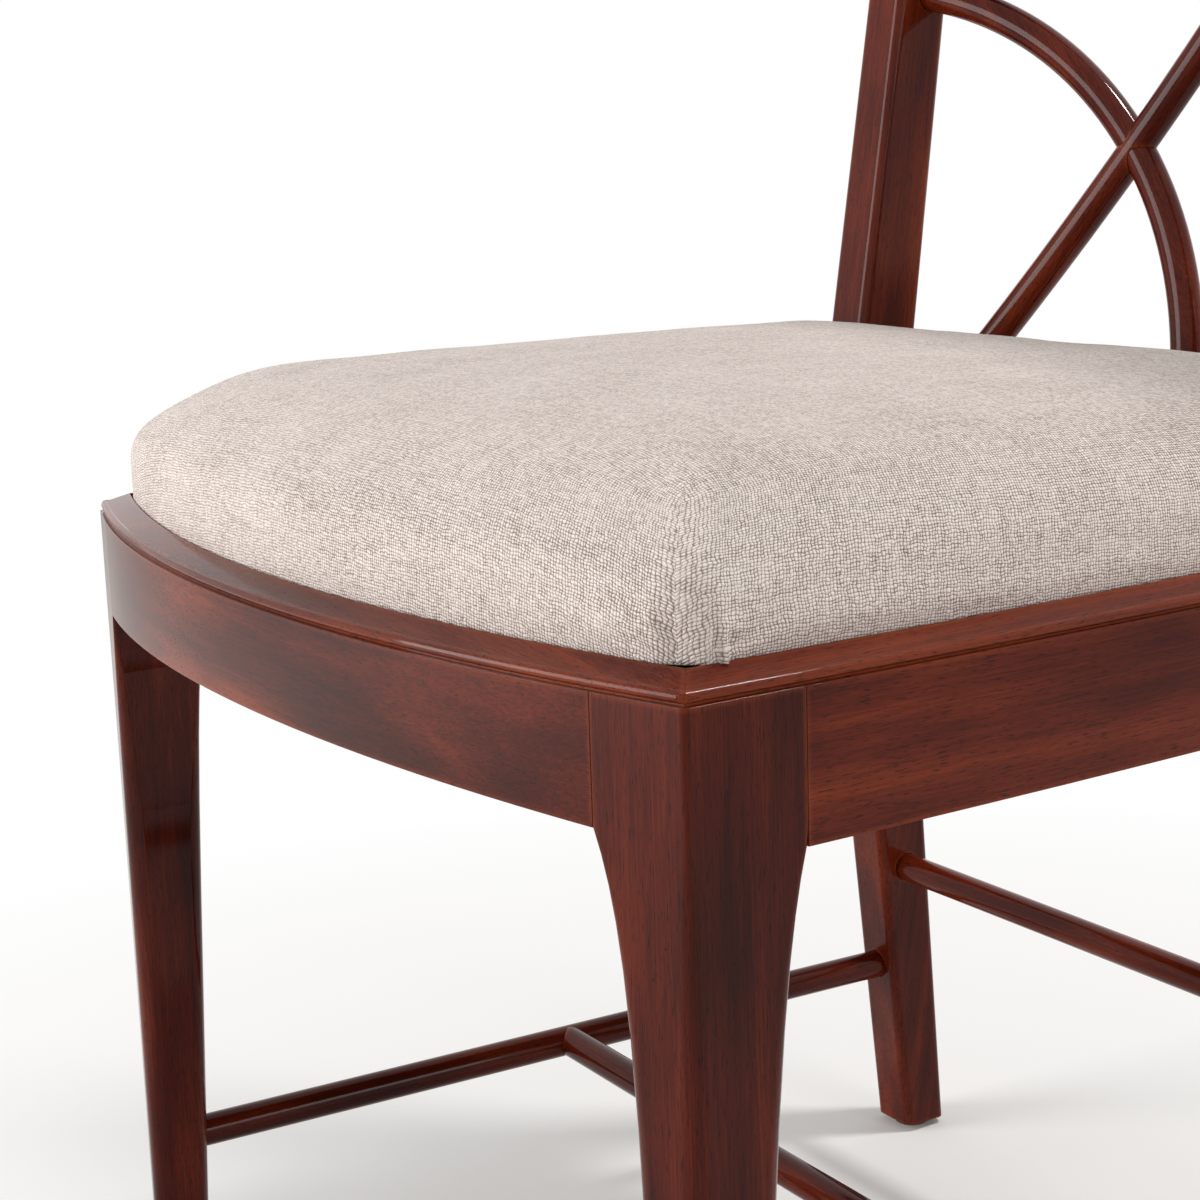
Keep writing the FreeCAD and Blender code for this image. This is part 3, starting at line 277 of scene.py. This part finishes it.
# %% Bare beech and plywood
def bare_wood(name, grain, light, dark, width_mm=6):
    """Unfinished pale wood with a soft figure along the grain."""
    material, tree, shader = new_material(name)
    place = add(tree, "ShaderNodeTexCoord")
    inputs = {"Vector": place.outputs["Object"], "Rotation": along_x(grain)}
    turned = add(tree, "ShaderNodeMapping", inputs).outputs[0]
    figure = grain_noise(tree, turned, (width_mm, 130), Detail=4.0, Roughness=0.6)
    flecks = grain_noise(tree, turned, (0.8, 3), Detail=1.0)
    terms = {0: flecks, 1: 0.3, 2: figure}
    mixed = add(tree, "ShaderNodeMath", terms, operation="MULTIPLY_ADD").outputs[0]
    stain = add(tree, "ShaderNodeValToRGB", {"Fac": mixed})
    colour_stops(stain, [(0.45, dark), (0.85, light)])
    relief = add(tree, "ShaderNodeBump", {"Strength": 0.2, "Distance": 0.0002, "Height": mixed})
    tree.links.new(stain.outputs["Color"], shader.inputs["Base Color"])
    tree.links.new(relief.outputs[0], shader.inputs["Normal"])
    shader.inputs["Roughness"].default_value = 0.62
    return material


def give(material, names):
    """Gives CAD nodes one material."""
    for name in names:
        nodes[name].data.materials.clear()
        nodes[name].data.materials.append(material)


CORNERS = ["front_left", "front_right", "rear_left", "rear_right"]
give(bare_wood("bare_beech", (1, 1, 0), "#d9b48a", "#b98a5c"), [f"{c}_corner_block" for c in CORNERS])
give(bare_wood("beech_dowel", ACROSS, "#d6b184", "#b48a5f", 3), ["rail_dowels", "back_dowels"])
give(bare_wood("birch_plywood", (0, 1, 0), "#dfc49a", "#c3a06f", 14), ["seat_board"])

# %% Dust cover, screws and glides
def lining_felt():
    """Black nonwoven polypropylene: a matt web of fibres with faint pressed dots about 2 mm apart."""
    material, tree, shader = new_material("lining_felt")
    place = add(tree, "ShaderNodeTexCoord").outputs["Object"]
    fibres = add(tree, "ShaderNodeTexNoise", {"Vector": place, "Scale": 900.0, "Detail": 4.0})
    dots = add(tree, "ShaderNodeTexVoronoi", {"Vector": place, "Scale": 480.0, "Randomness": 0.15})
    terms = {0: fibres.outputs["Fac"], 1: dots.outputs["Distance"]}
    height = add(tree, "ShaderNodeMath", terms, operation="ADD").outputs[0]
    shade = add(tree, "ShaderNodeValToRGB", {"Fac": fibres.outputs["Fac"]})
    colour_stops(shade, [(0.35, "#151517"), (0.7, "#2b2b2e")])
    relief = add(tree, "ShaderNodeBump", {"Strength": 0.5, "Distance": 0.0003, "Height": height})
    tree.links.new(shade.outputs["Color"], shader.inputs["Base Color"])
    tree.links.new(relief.outputs[0], shader.inputs["Normal"])
    shader.inputs["Roughness"].default_value = 0.9
    return material


def worked(name, light, dark, metallic, roughness, scale):
    """A small part with fine tool marks: zinc-plated steel or moulded nylon."""
    material, tree, shader = new_material(name)
    place = add(tree, "ShaderNodeTexCoord").outputs["Object"]
    marks = add(tree, "ShaderNodeTexNoise", {"Vector": place, "Scale": scale, "Detail": 3.0})
    shade = add(tree, "ShaderNodeValToRGB", {"Fac": marks.outputs["Fac"]})
    colour_stops(shade, [(0.35, dark), (0.7, light)])
    inputs = {"Strength": 0.15, "Distance": 0.0001, "Height": marks.outputs["Fac"]}
    relief = add(tree, "ShaderNodeBump", inputs)
    tree.links.new(shade.outputs["Color"], shader.inputs["Base Color"])
    tree.links.new(relief.outputs[0], shader.inputs["Normal"])
    shader.inputs["Metallic"].default_value = metallic
    shader.inputs["Roughness"].default_value = roughness
    return material


give(lining_felt(), ["dust_cover"])
steel = worked("plated_steel", "#c9c4b8", "#9c968a", 1.0, 0.35, 1200.0)
give(steel, ["seat_screws", "corner_block_screws"])
give(worked("moulded_nylon", "#4a3a33", "#3a2c27", 0.0, 0.45, 700.0), ["foot_glides"])
print("hidden pieces finished")

# %% [markdown]
# The cover is a plain weave of pale linen yarns a little over a millimetre apart. A weave can be drawn
# from any flat coordinates, and a cover is a flat cloth pulled over the pad, so the mesh carries a UV
# map in metres that stands for that cloth. Two rows of half waves give each yarn its round back, and
# the sign of their product tells where the warp lies on top and where the weft does.

# %% Linen weave: where each yarn lies
YARN_MM = 1.2
WANDER_MM = 2.3


def yarn_grid(tree, cloth):
    """Cloth coordinates counted in yarns, pushed about a little because linen is spun unevenly."""
    wander = add(tree, "ShaderNodeTexNoise", {"Vector": cloth, "Scale": 260.0, "Detail": 3.0})
    centred = {0: wander.outputs["Color"], 1: (0.5, 0.5, 0.5)}
    pushed = add(tree, "ShaderNodeVectorMath", centred, operation="SUBTRACT")
    inputs = {0: pushed.outputs[0], "Scale": WANDER_MM / 1000}
    scaled = add(tree, "ShaderNodeVectorMath", inputs, operation="SCALE")
    moved = add(tree, "ShaderNodeVectorMath", {0: cloth, 1: scaled.outputs[0]}, operation="ADD")
    inputs = {0: moved.outputs[0], "Scale": 1000 / YARN_MM}
    return add(tree, "ShaderNodeVectorMath", inputs, operation="SCALE").outputs[0]


# A yarn is longer than it is wide, so its back is round across it and flat along it.
ROUND_BACK, FLAT_BACK = 0.75, 0.35


def yarn_backs(tree, grid):
    """Height of the yarn on top, and one where that yarn is a warp."""
    split = add(tree, "ShaderNodeSeparateXYZ", {0: grid})
    waves = []
    for axis in ("X", "Y"):
        turns = add(tree, "ShaderNodeMath", {0: split.outputs[axis], 1: math.pi}, operation="MULTIPLY")
        waves.append(add(tree, "ShaderNodeMath", {0: turns.outputs[0]}, operation="SINE").outputs[0])
    sign = add(tree, "ShaderNodeMath", {0: waves[0], 1: waves[1]}, operation="MULTIPLY")
    inputs = {0: sign.outputs[0], 1: 0.0}
    warp_up = add(tree, "ShaderNodeMath", inputs, operation="GREATER_THAN").outputs[0]
    backs = []
    for wave, if_warp, if_weft in ((waves[0], ROUND_BACK, FLAT_BACK), (waves[1], FLAT_BACK, ROUND_BACK)):
        bend = {0: warp_up, 1: if_warp - if_weft, 2: if_weft}
        power = add(tree, "ShaderNodeMath", bend, operation="MULTIPLY_ADD").outputs[0]
        size = add(tree, "ShaderNodeMath", {0: wave}, operation="ABSOLUTE").outputs[0]
        backs.append(add(tree, "ShaderNodeMath", {0: size, 1: power}, operation="POWER").outputs[0])
    height = add(tree, "ShaderNodeMath", {0: backs[0], 1: backs[1]}, operation="MULTIPLY")
    return height.outputs[0], warp_up


# %% [markdown]
# Undyed linen is never one colour. Each crossing is a little lighter or darker than the next, and thick
# slubs run along both sets of yarns. The gaps between yarns fall into shadow, and that shade is painted
# in as darker colour. All of that goes through one ramp, from the painted shade of the gaps to the pale
# backs.

# %% Linen weave: colour and relief
SLUB_MM = (1.6, 45)
BACK_SHADE_SHARE, CHANCE_SHARE, SLUB_SHARE, PATCH_SHARE = 0.62, 0.24, 0.42, 0.18


def slubs(tree, cloth, across_and_along):
    """Noise drawn out along one set of yarns."""
    scale = tuple(1000 / mm for mm in across_and_along)
    drawn = add(tree, "ShaderNodeMapping", {"Vector": cloth, "Scale": (*scale, 1)}).outputs[0]
    inputs = {"Vector": drawn, "Scale": 1.0, "Detail": 2.0}
    return add(tree, "ShaderNodeTexNoise", inputs).outputs["Fac"]


def woven_linen():
    """Undyed linen in plain weave: matt, with a faint sheen from its fuzz at grazing angles."""
    material, tree, shader = new_material("woven_linen")
    cloth = add(tree, "ShaderNodeUVMap", uv_map="cloth").outputs[0]
    grid = yarn_grid(tree, cloth)
    back, warp_up = yarn_backs(tree, grid)
    crossing = add(tree, "ShaderNodeVectorMath", {0: grid}, operation="FLOOR").outputs[0]
    chance = add(tree, "ShaderNodeTexWhiteNoise", {"Vector": crossing}, noise_dimensions="2D")
    warp_slub, weft_slub = slubs(tree, cloth, SLUB_MM), slubs(tree, cloth, SLUB_MM[::-1])
    slub = add(tree, "ShaderNodeMix", {"Factor": warp_up})
    tree.links.new(weft_slub, slub.inputs[2])
    tree.links.new(warp_slub, slub.inputs[3])
    patches = add(tree, "ShaderNodeTexNoise", {"Vector": cloth, "Scale": 22.0, "Detail": 3.0})

    # The height of the yarn backs sets light and dark in the ramp, so the gaps get painted shade.
    shade = add(tree, "ShaderNodeMath", {0: back, 1: BACK_SHADE_SHARE}, operation="MULTIPLY").outputs[0]
    uneven = [(chance.outputs["Value"], CHANCE_SHARE), (slub.outputs[0], SLUB_SHARE)]
    for part, weight in [*uneven, (patches.outputs["Fac"], PATCH_SHARE)]:
        terms = {0: part, 1: weight, 2: shade}
        shade = add(tree, "ShaderNodeMath", terms, operation="MULTIPLY_ADD").outputs[0]
    yarn = add(tree, "ShaderNodeValToRGB", {"Fac": shade})
    colour_stops(yarn, [(0.4, "#7d6f66"), (0.6, "#b5a59a"), (0.78, "#e2d3cb"), (0.95, "#f8ece5")])
    relief = add(tree, "ShaderNodeBump", {"Strength": 0.8, "Distance": 0.0005, "Height": back})
    tree.links.new(yarn.outputs["Color"], shader.inputs["Base Color"])
    tree.links.new(relief.outputs[0], shader.inputs["Normal"])
    shader.inputs["Roughness"].default_value = 0.86
    shader.inputs["Specular IOR Level"].default_value = 0.25
    shader.inputs["Sheen Weight"].default_value = 0.15
    shader.inputs["Sheen Roughness"].default_value = 0.5
    return material


# %% [markdown]
# The pad is webbing and foam under the cover, tight and crowned. Its outline is the seat opening: a
# bowed front, sides that narrow to the rear, a straight back, and rounded corners where the cloth is
# pulled round. The surface is built as rings that shrink from that outline to the middle, turning
# from the outline's shape to an oval on the way, so that the dome has no ridges.

# %% Outline of the seat opening
# The bow's centre and the sides' length are measured to the rear of the front edge, at x = 0.
FRONT_EDGE = -0.2621
BOW_CENTRE = 0.78178
BOW_RADIUS = 0.80628
SIDE_LENGTH = 0.417
OPENING_BACK = FRONT_EDGE + 0.416
FRONT_HALF, REAR_HALF = 0.2355, 0.2195
NARROWING, SIDE_BOW = 0.016, 0.016
CENTRE = Vector((0, FRONT_EDGE + 0.2))
CORNER_RADIUS = 0.014
RIM_TOP = 0.4335
AROUND = 240


def front_line(x):
    """Where the bowed front edge of the opening lies at x."""
    return FRONT_EDGE + BOW_CENTRE - math.sqrt(BOW_RADIUS**2 - x * x)


def half_width(y):
    """Half the opening's width at y."""
    share = (y - FRONT_EDGE) / SIDE_LENGTH
    return FRONT_HALF - NARROWING * share + SIDE_BOW * share * (1 - share)


def inside_depth(point):
    """How deep a plan point lies inside the opening, negative outside; corners are rounded."""
    x, y = abs(point[0]), point[1]
    side = half_width(y) - x
    end = min(y - front_line(min(x, 0.3)), OPENING_BACK - y)
    if side < CORNER_RADIUS and end < CORNER_RADIUS:
        return CORNER_RADIUS - math.hypot(CORNER_RADIUS - side, CORNER_RADIUS - end)
    return min(side, end)


def outline_reach(angle):
    """Distance from the middle to the outline in a direction, found by halving."""
    way = Vector((math.cos(angle), math.sin(angle)))
    near, far = 0.1, 0.36
    for _ in range(40):
        middle = (near + far) / 2
        if inside_depth(CENTRE + way * middle) > 0:
            near = middle
        else:
            far = middle
    return near


# %% Points round the outline, closer together at the corners
CORNERS_AT = [(FRONT_HALF, front_line(FRONT_HALF)), (REAR_HALF, OPENING_BACK)]
CORNERS_AT = np.array(CORNERS_AT + [(-x, y) for x, y in CORNERS_AT])
CROWDING = 8
CROWDED_WIDTH = 0.02


def corner_nearness(points, width):
    """One at a corner, fading out over a width, for each plan point."""
    away = np.linalg.norm(points[:, None, :] - CORNERS_AT[None], axis=2).min(axis=1)
    return np.exp(-((away / width) ** 2))


def spaced_angles(count):
    """Angles whose outline points are evenly spaced, and nine times closer at the corners."""
    fine = np.linspace(0, 2 * math.pi, 6001)
    reach = np.array([outline_reach(a) for a in fine])
    points = np.array(CENTRE) + np.stack([np.cos(fine), np.sin(fine)], axis=1) * reach[:, None]
    steps = np.linalg.norm(np.diff(points, axis=0), axis=1)
    steps = steps * (1 + CROWDING * corner_nearness(points[1:], CROWDED_WIDTH))
    walked = np.concatenate([[0], np.cumsum(steps)])
    return np.interp(np.arange(count) / count * walked[-1], walked, fine)


angles = spaced_angles(AROUND)
reaches = np.array([outline_reach(a) for a in angles])
ways = np.stack([np.cos(angles), np.sin(angles)], axis=1)
outline = np.array(CENTRE) + ways * reaches[:, None]
along = np.roll(outline, -1, axis=0) - np.roll(outline, 1, axis=0)
outward = np.stack([along[:, 1], -along[:, 0]], axis=1)
outward /= np.linalg.norm(outward, axis=1)[:, None]
print("outline", round(float(outline[:, 0].max() * 2), 3), "m wide")

# %% Rings of the cushion
CROWN = 0.0655
FOOT = 0.4297
SWELL = 0.002
CORNER_FALL, FALL_WIDTH = 0.15, 0.045
OVAL = np.array([0.205, 0.19])
MIDDLE_DEPTH = 0.235
STEEP, ROUND = 0.22, 4
WALL_SHARES = [0, 0.04, 0.08, 0.12, 0.17, 0.22, 0.28, 0.34, 0.41, 0.48, 0.55, 0.62, 0.68, 0.74, 0.79]
WALL_SHARES += [0.835, 0.875, 0.91]
TOP_DEPTHS = [0.066, 0.082, 0.1, 0.12, 0.14, 0.16, 0.18, 0.198, 0.213, 0.225]


def crown_share(depth):
    """Height of the dome as a share of the crown: steep at the sides, then easing to the middle."""
    inner = min(1, depth / MIDDLE_DEPTH)
    return (1 - (1 - inner) ** ROUND) ** STEEP


def depth_at(share):
    """The depth inside the outline at which the dome has reached a share of its crown."""
    return MIDDLE_DEPTH * (1 - (1 - share ** (1 / STEEP)) ** (1 / ROUND))


def ring_points(depth):
    """One ring: plan points and heights. Corners stay lower, because the cover is pulled down twice."""
    scale = 1 - depth / MIDDLE_DEPTH
    oval_reach = 1 / np.linalg.norm(ways / OVAL, axis=1)
    squareness = 1 - (1 - scale) ** 1.5
    reach = reaches * squareness + oval_reach * (1 - squareness)
    plan = np.array(CENTRE) + ways * reach[:, None] * scale
    share = crown_share(depth)
    swell = SWELL * math.sin(math.pi * min(1, share / 0.8))
    plan = plan + outward * swell
    return plan, RIM_TOP + CROWN * share * (1 - CORNER_FALL * corner_nearness(plan, FALL_WIDTH))


rings = [(outline.copy(), np.full(AROUND, FOOT))]
rings += [ring_points(depth) for depth in [depth_at(share) for share in WALL_SHARES] + TOP_DEPTHS]
middle = Vector((CENTRE.x, CENTRE.y, RIM_TOP + CROWN))
print(len(rings), "rings, crown", round(middle.z - RIM_TOP, 4), "m over the rim")

# %% [markdown]
# The flat cloth under each point is its plan on top of the pad. Down a side the cloth hangs straight,
# so each point there is moved out, square to that side, by the length that it hangs down. Two sides
# then part at the corner, from nothing at the shoulder to a gap at the foot: the spare cloth, which
# an upholsterer folds away in a tuck.

# %% Cushion mesh with its cloth coordinates
SHOULDER_RING = 15
SIDES = np.array([(0, -1), (1, 0), (0, 1), (-1, 0)])


def hung_lengths():
    """How far down from the shoulder each point of each ring lies, along the cloth."""
    solid = [np.column_stack([plan, heights]) for plan, heights in rings]
    hung = [np.zeros(AROUND) for _ in rings]
    for i in range(SHOULDER_RING - 1, -1, -1):
        hung[i] = hung[i + 1] + np.linalg.norm(solid[i] - solid[i + 1], axis=1)
    return hung


def cushion_mesh():
    """The rings joined by faces, and for each face its column round the outline."""
    vertices = [(*p, z) for plan, heights in rings for p, z in zip(plan, heights)]
    top = len(vertices)
    vertices.append(tuple(middle))
    faces, columns = [], []
    for ring in range(len(rings) - 1):
        for i in range(AROUND):
            j = (i + 1) % AROUND
            a, b = ring * AROUND, (ring + 1) * AROUND
            faces.append((a + i, a + j, b + j, b + i))
            columns.append(i)
    last = (len(rings) - 1) * AROUND
    faces += [(last + i, last + (i + 1) % AROUND, top) for i in range(AROUND)]
    faces.append(tuple(reversed(range(AROUND))))
    columns += [0] * (AROUND + 1)
    mesh = bpy.data.meshes.new("seat_cushion_cover")
    mesh.from_pydata(vertices, [], faces)
    mesh.polygons.foreach_set("use_smooth", [True] * len(mesh.polygons))
    return mesh, columns


def lay_cloth(mesh, columns):
    """Writes the UV map. Each column of faces belongs to the side that it faces most."""
    hung = hung_lengths()
    side_of = np.argmax((outward + np.roll(outward, -1, axis=0)) @ SIDES.T, axis=1)
    flats = [rings[max(i, SHOULDER_RING)][0] for i in range(len(rings))]
    uv = mesh.uv_layers.new(name="cloth")
    for face, column in zip(mesh.polygons, columns):
        way = SIDES[side_of[column]]
        for loop, corner in zip(face.loop_indices, face.vertices):
            ring, i = divmod(corner, AROUND)
            if ring == len(rings):
                uv.data[loop].uv = CENTRE
            else:
                uv.data[loop].uv = flats[ring][i] + way * hung[ring][i]


mesh, columns = cushion_mesh()
lay_cloth(mesh, columns)
cushion = bpy.data.objects.new("seat_cushion_cover", mesh)
bpy.context.scene.collection.objects.link(cushion)
print(len(mesh.vertices), "vertices in the cushion")

# %% [markdown]
# Drawn rings look drawn. A cloth simulation settles them: the cover is tacked down along its foot and
# the foam pushes from inside like air, so the cloth finds its own tension between the corners. A cap
# keeps each point within two millimetres of the drawn shape, and the result is written to the mesh.

# %% Settle the cover by cloth simulation
PRESSURE = 2.0
QUALITY_STEPS = 4
CAP = 0.0018
FRAMES = 16


def settle(piece):
    """Settles the cover, holds it near the drawn shape and returns how far the cloth had moved."""
    drawn = np.array([v.co[:] for v in piece.data.vertices])
    tacked = piece.vertex_groups.new(name="tacked")
    low = [int(i) for i in np.nonzero(drawn[:, 2] < RIM_TOP + 0.001)[0]]
    tacked.add(low, 1.0, "REPLACE")
    cover = piece.modifiers.new("cover", "CLOTH")
    cover.settings.vertex_group_mass = "tacked"
    cover.settings.use_pressure = True
    cover.settings.uniform_pressure_force = PRESSURE
    cover.settings.effector_weights.gravity = 0
    cover.settings.quality = QUALITY_STEPS
    cover.point_cache.frame_start, cover.point_cache.frame_end = 1, FRAMES
    for frame_number in range(1, FRAMES + 1):
        bpy.context.scene.frame_set(frame_number)
    settled = piece.evaluated_get(bpy.context.evaluated_depsgraph_get())
    moved = np.array([v.co[:] for v in settled.data.vertices]) - drawn
    piece.modifiers.remove(cover)
    piece.vertex_groups.remove(tacked)
    bpy.context.scene.frame_set(1)
    far = np.linalg.norm(moved, axis=1)
    moved *= np.minimum(1, CAP / np.maximum(far, 1e-9))[:, None]
    piece.data.vertices.foreach_set("co", (drawn + moved).ravel())
    piece.data.update()
    return far


def subdivide(piece):
    """Writes one subdivision to the mesh; the cloth coordinates go with it."""
    smooth = piece.modifiers.new("smooth", "SUBSURF")
    smooth.levels = 1
    finer = bpy.data.meshes.new_from_object(piece.evaluated_get(bpy.context.evaluated_depsgraph_get()))
    piece.modifiers.remove(smooth)
    piece.data = finer
    finer.name = "seat_cushion_cover"


far = settle(cushion) * 1000
print("cloth moved", round(float(far.mean()), 1), "mm on average, at most", round(float(far.max()), 1))
subdivide(cushion)
print(len(cushion.data.vertices), "vertices in the finished cushion")

# %% [markdown]
# The tucks come after the simulation, which would pull them flat. Each front corner has one just round
# the side: a short fold of spare cloth with a dimple behind it. Foam and webbing also leave the top
# faintly uneven.

# %% Tucks and unevenness
TUCK_BACK = front_line(FRONT_HALF) + 0.0135
DIMPLE_DEPTH, DIMPLE_WIDTH, DIMPLE_RISE = 0.0035, 0.0016, 0.009
FOLD_HEIGHT, FOLD_WIDTH, FOLD_RISE = 0.0016, 0.0035, 0.011
FOLD_AHEAD = 0.006


def tuck_push(co):
    """How far out a fold stands at a point, in metres; negative in the dimple behind it."""
    rise = co.z - RIM_TOP
    if abs(co.x) < 0.2 or rise < -0.002 or co.y > 0:
        return 0
    behind = co.y - TUCK_BACK
    dimple = math.exp(-((behind / DIMPLE_WIDTH) ** 2)) * math.exp(-((rise / DIMPLE_RISE) ** 2))
    ahead = (behind + FOLD_AHEAD) / FOLD_WIDTH
    fold = math.exp(-(ahead**2)) * math.exp(-((rise / FOLD_RISE) ** 2))
    return FOLD_HEIGHT * fold - DIMPLE_DEPTH * dimple


for vertex in cushion.data.vertices:
    vertex.co.x += math.copysign(tuck_push(vertex.co), vertex.co.x)
    if vertex.co.z > RIM_TOP + 0.004:
        vertex.co.z += noise.noise(vertex.co * 14) * 0.0009 + noise.noise(vertex.co * 45) * 0.00025
cushion.data.materials.append(woven_linen())
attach(cushion, "root")
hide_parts("seat_cushion")
print("top of the cushion", round(max(v.co.z for v in cushion.data.vertices), 4), "m")

# %% [markdown]
# The studio is plain and white. Its surround is seen white by the camera and in reflections, and lights
# the chair more gently, so that the lamps can model it: a large one in front on the left, a tall one
# behind on the right, and a small bright one overhead that draws the white lines along the moulding.

# %% Surround
SURROUND_LIGHT = 0.45
world = bpy.data.worlds.new("white_surround")
bpy.context.scene.world = world
world.use_nodes = True
tree = world.node_tree
tree.nodes.clear()
rays = add(tree, "ShaderNodeLightPath")
seen = rays.outputs["Is Camera Ray"]
for kind in ("Is Glossy Ray", "Is Transmission Ray"):
    terms = {0: seen, 1: rays.outputs[kind]}
    seen = add(tree, "ShaderNodeMath", terms, operation="ADD", use_clamp=True).outputs[0]
white = add(tree, "ShaderNodeBackground", {"Color": (1, 1, 1, 1), "Strength": 1.0})
gentle = add(tree, "ShaderNodeBackground", {"Color": (1, 1, 1, 1), "Strength": SURROUND_LIGHT})
mixed = add(tree, "ShaderNodeMixShader", {0: seen, 1: gentle.outputs[0], 2: white.outputs[0]})
add(tree, "ShaderNodeOutputWorld", {"Surface": mixed.outputs[0]})

# %% Floor
def floor_paint():
    """Matt white paint near the chair, where its shadow falls, fading to the white of the surround."""
    material, tree, shader = new_material("floor_paint")
    shader.inputs["Base Color"].default_value = linear("#f4f2ef")
    shader.inputs["Roughness"].default_value = 0.9
    place = add(tree, "ShaderNodeTexCoord").outputs["Object"]
    away = add(tree, "ShaderNodeVectorMath", {0: place}, operation="LENGTH").outputs["Value"]
    fade = add(tree, "ShaderNodeMapRange", {"Value": away, "From Min": 0.3, "From Max": 1.0})
    rays = add(tree, "ShaderNodeLightPath")
    terms = {0: rays.outputs["Is Camera Ray"], 1: fade.outputs[0]}
    seen = add(tree, "ShaderNodeMath", terms, operation="MULTIPLY").outputs[0]
    glow = add(tree, "ShaderNodeEmission", {"Color": (1, 1, 1, 1), "Strength": 1.0})
    mixed = add(tree, "ShaderNodeMixShader", {0: seen, 1: shader.outputs[0], 2: glow.outputs[0]})
    tree.links.new(mixed.outputs[0], tree.nodes["Material Output"].inputs["Surface"])
    return material


floor_mesh = bpy.data.meshes.new("studio_floor")
floor_mesh.from_pydata([(-6, -6, 0), (6, -6, 0), (6, 6, 0), (-6, 6, 0)], [], [(0, 1, 2, 3)])
floor = bpy.data.objects.new("studio_floor", floor_mesh)
floor.data.materials.append(floor_paint())
bpy.context.scene.collection.objects.link(floor)


# %% Lamps
def soft_lamp(name, at, size, watts):
    """A square soft box at a point, turned to the seat."""
    light = bpy.data.lights.new(name, "AREA")
    light.size = size
    light.energy = watts
    lamp = bpy.data.objects.new(name, light)
    lamp.location = at
    lamp.rotation_euler = (Vector((0, 0, 0.45)) - Vector(at)).to_track_quat("-Z", "Y").to_euler()
    bpy.context.scene.collection.objects.link(lamp)


soft_lamp("front_left_lamp", (-1.0, -2.3, 1.0), 1.4, 46)
soft_lamp("rear_right_lamp", (2.2, 0.5, 1.2), 0.9, 10)
soft_lamp("overhead_lamp", (0.35, 1.0, 2.35), 0.26, 24)
bpy.context.scene.view_settings.view_transform = "Standard"
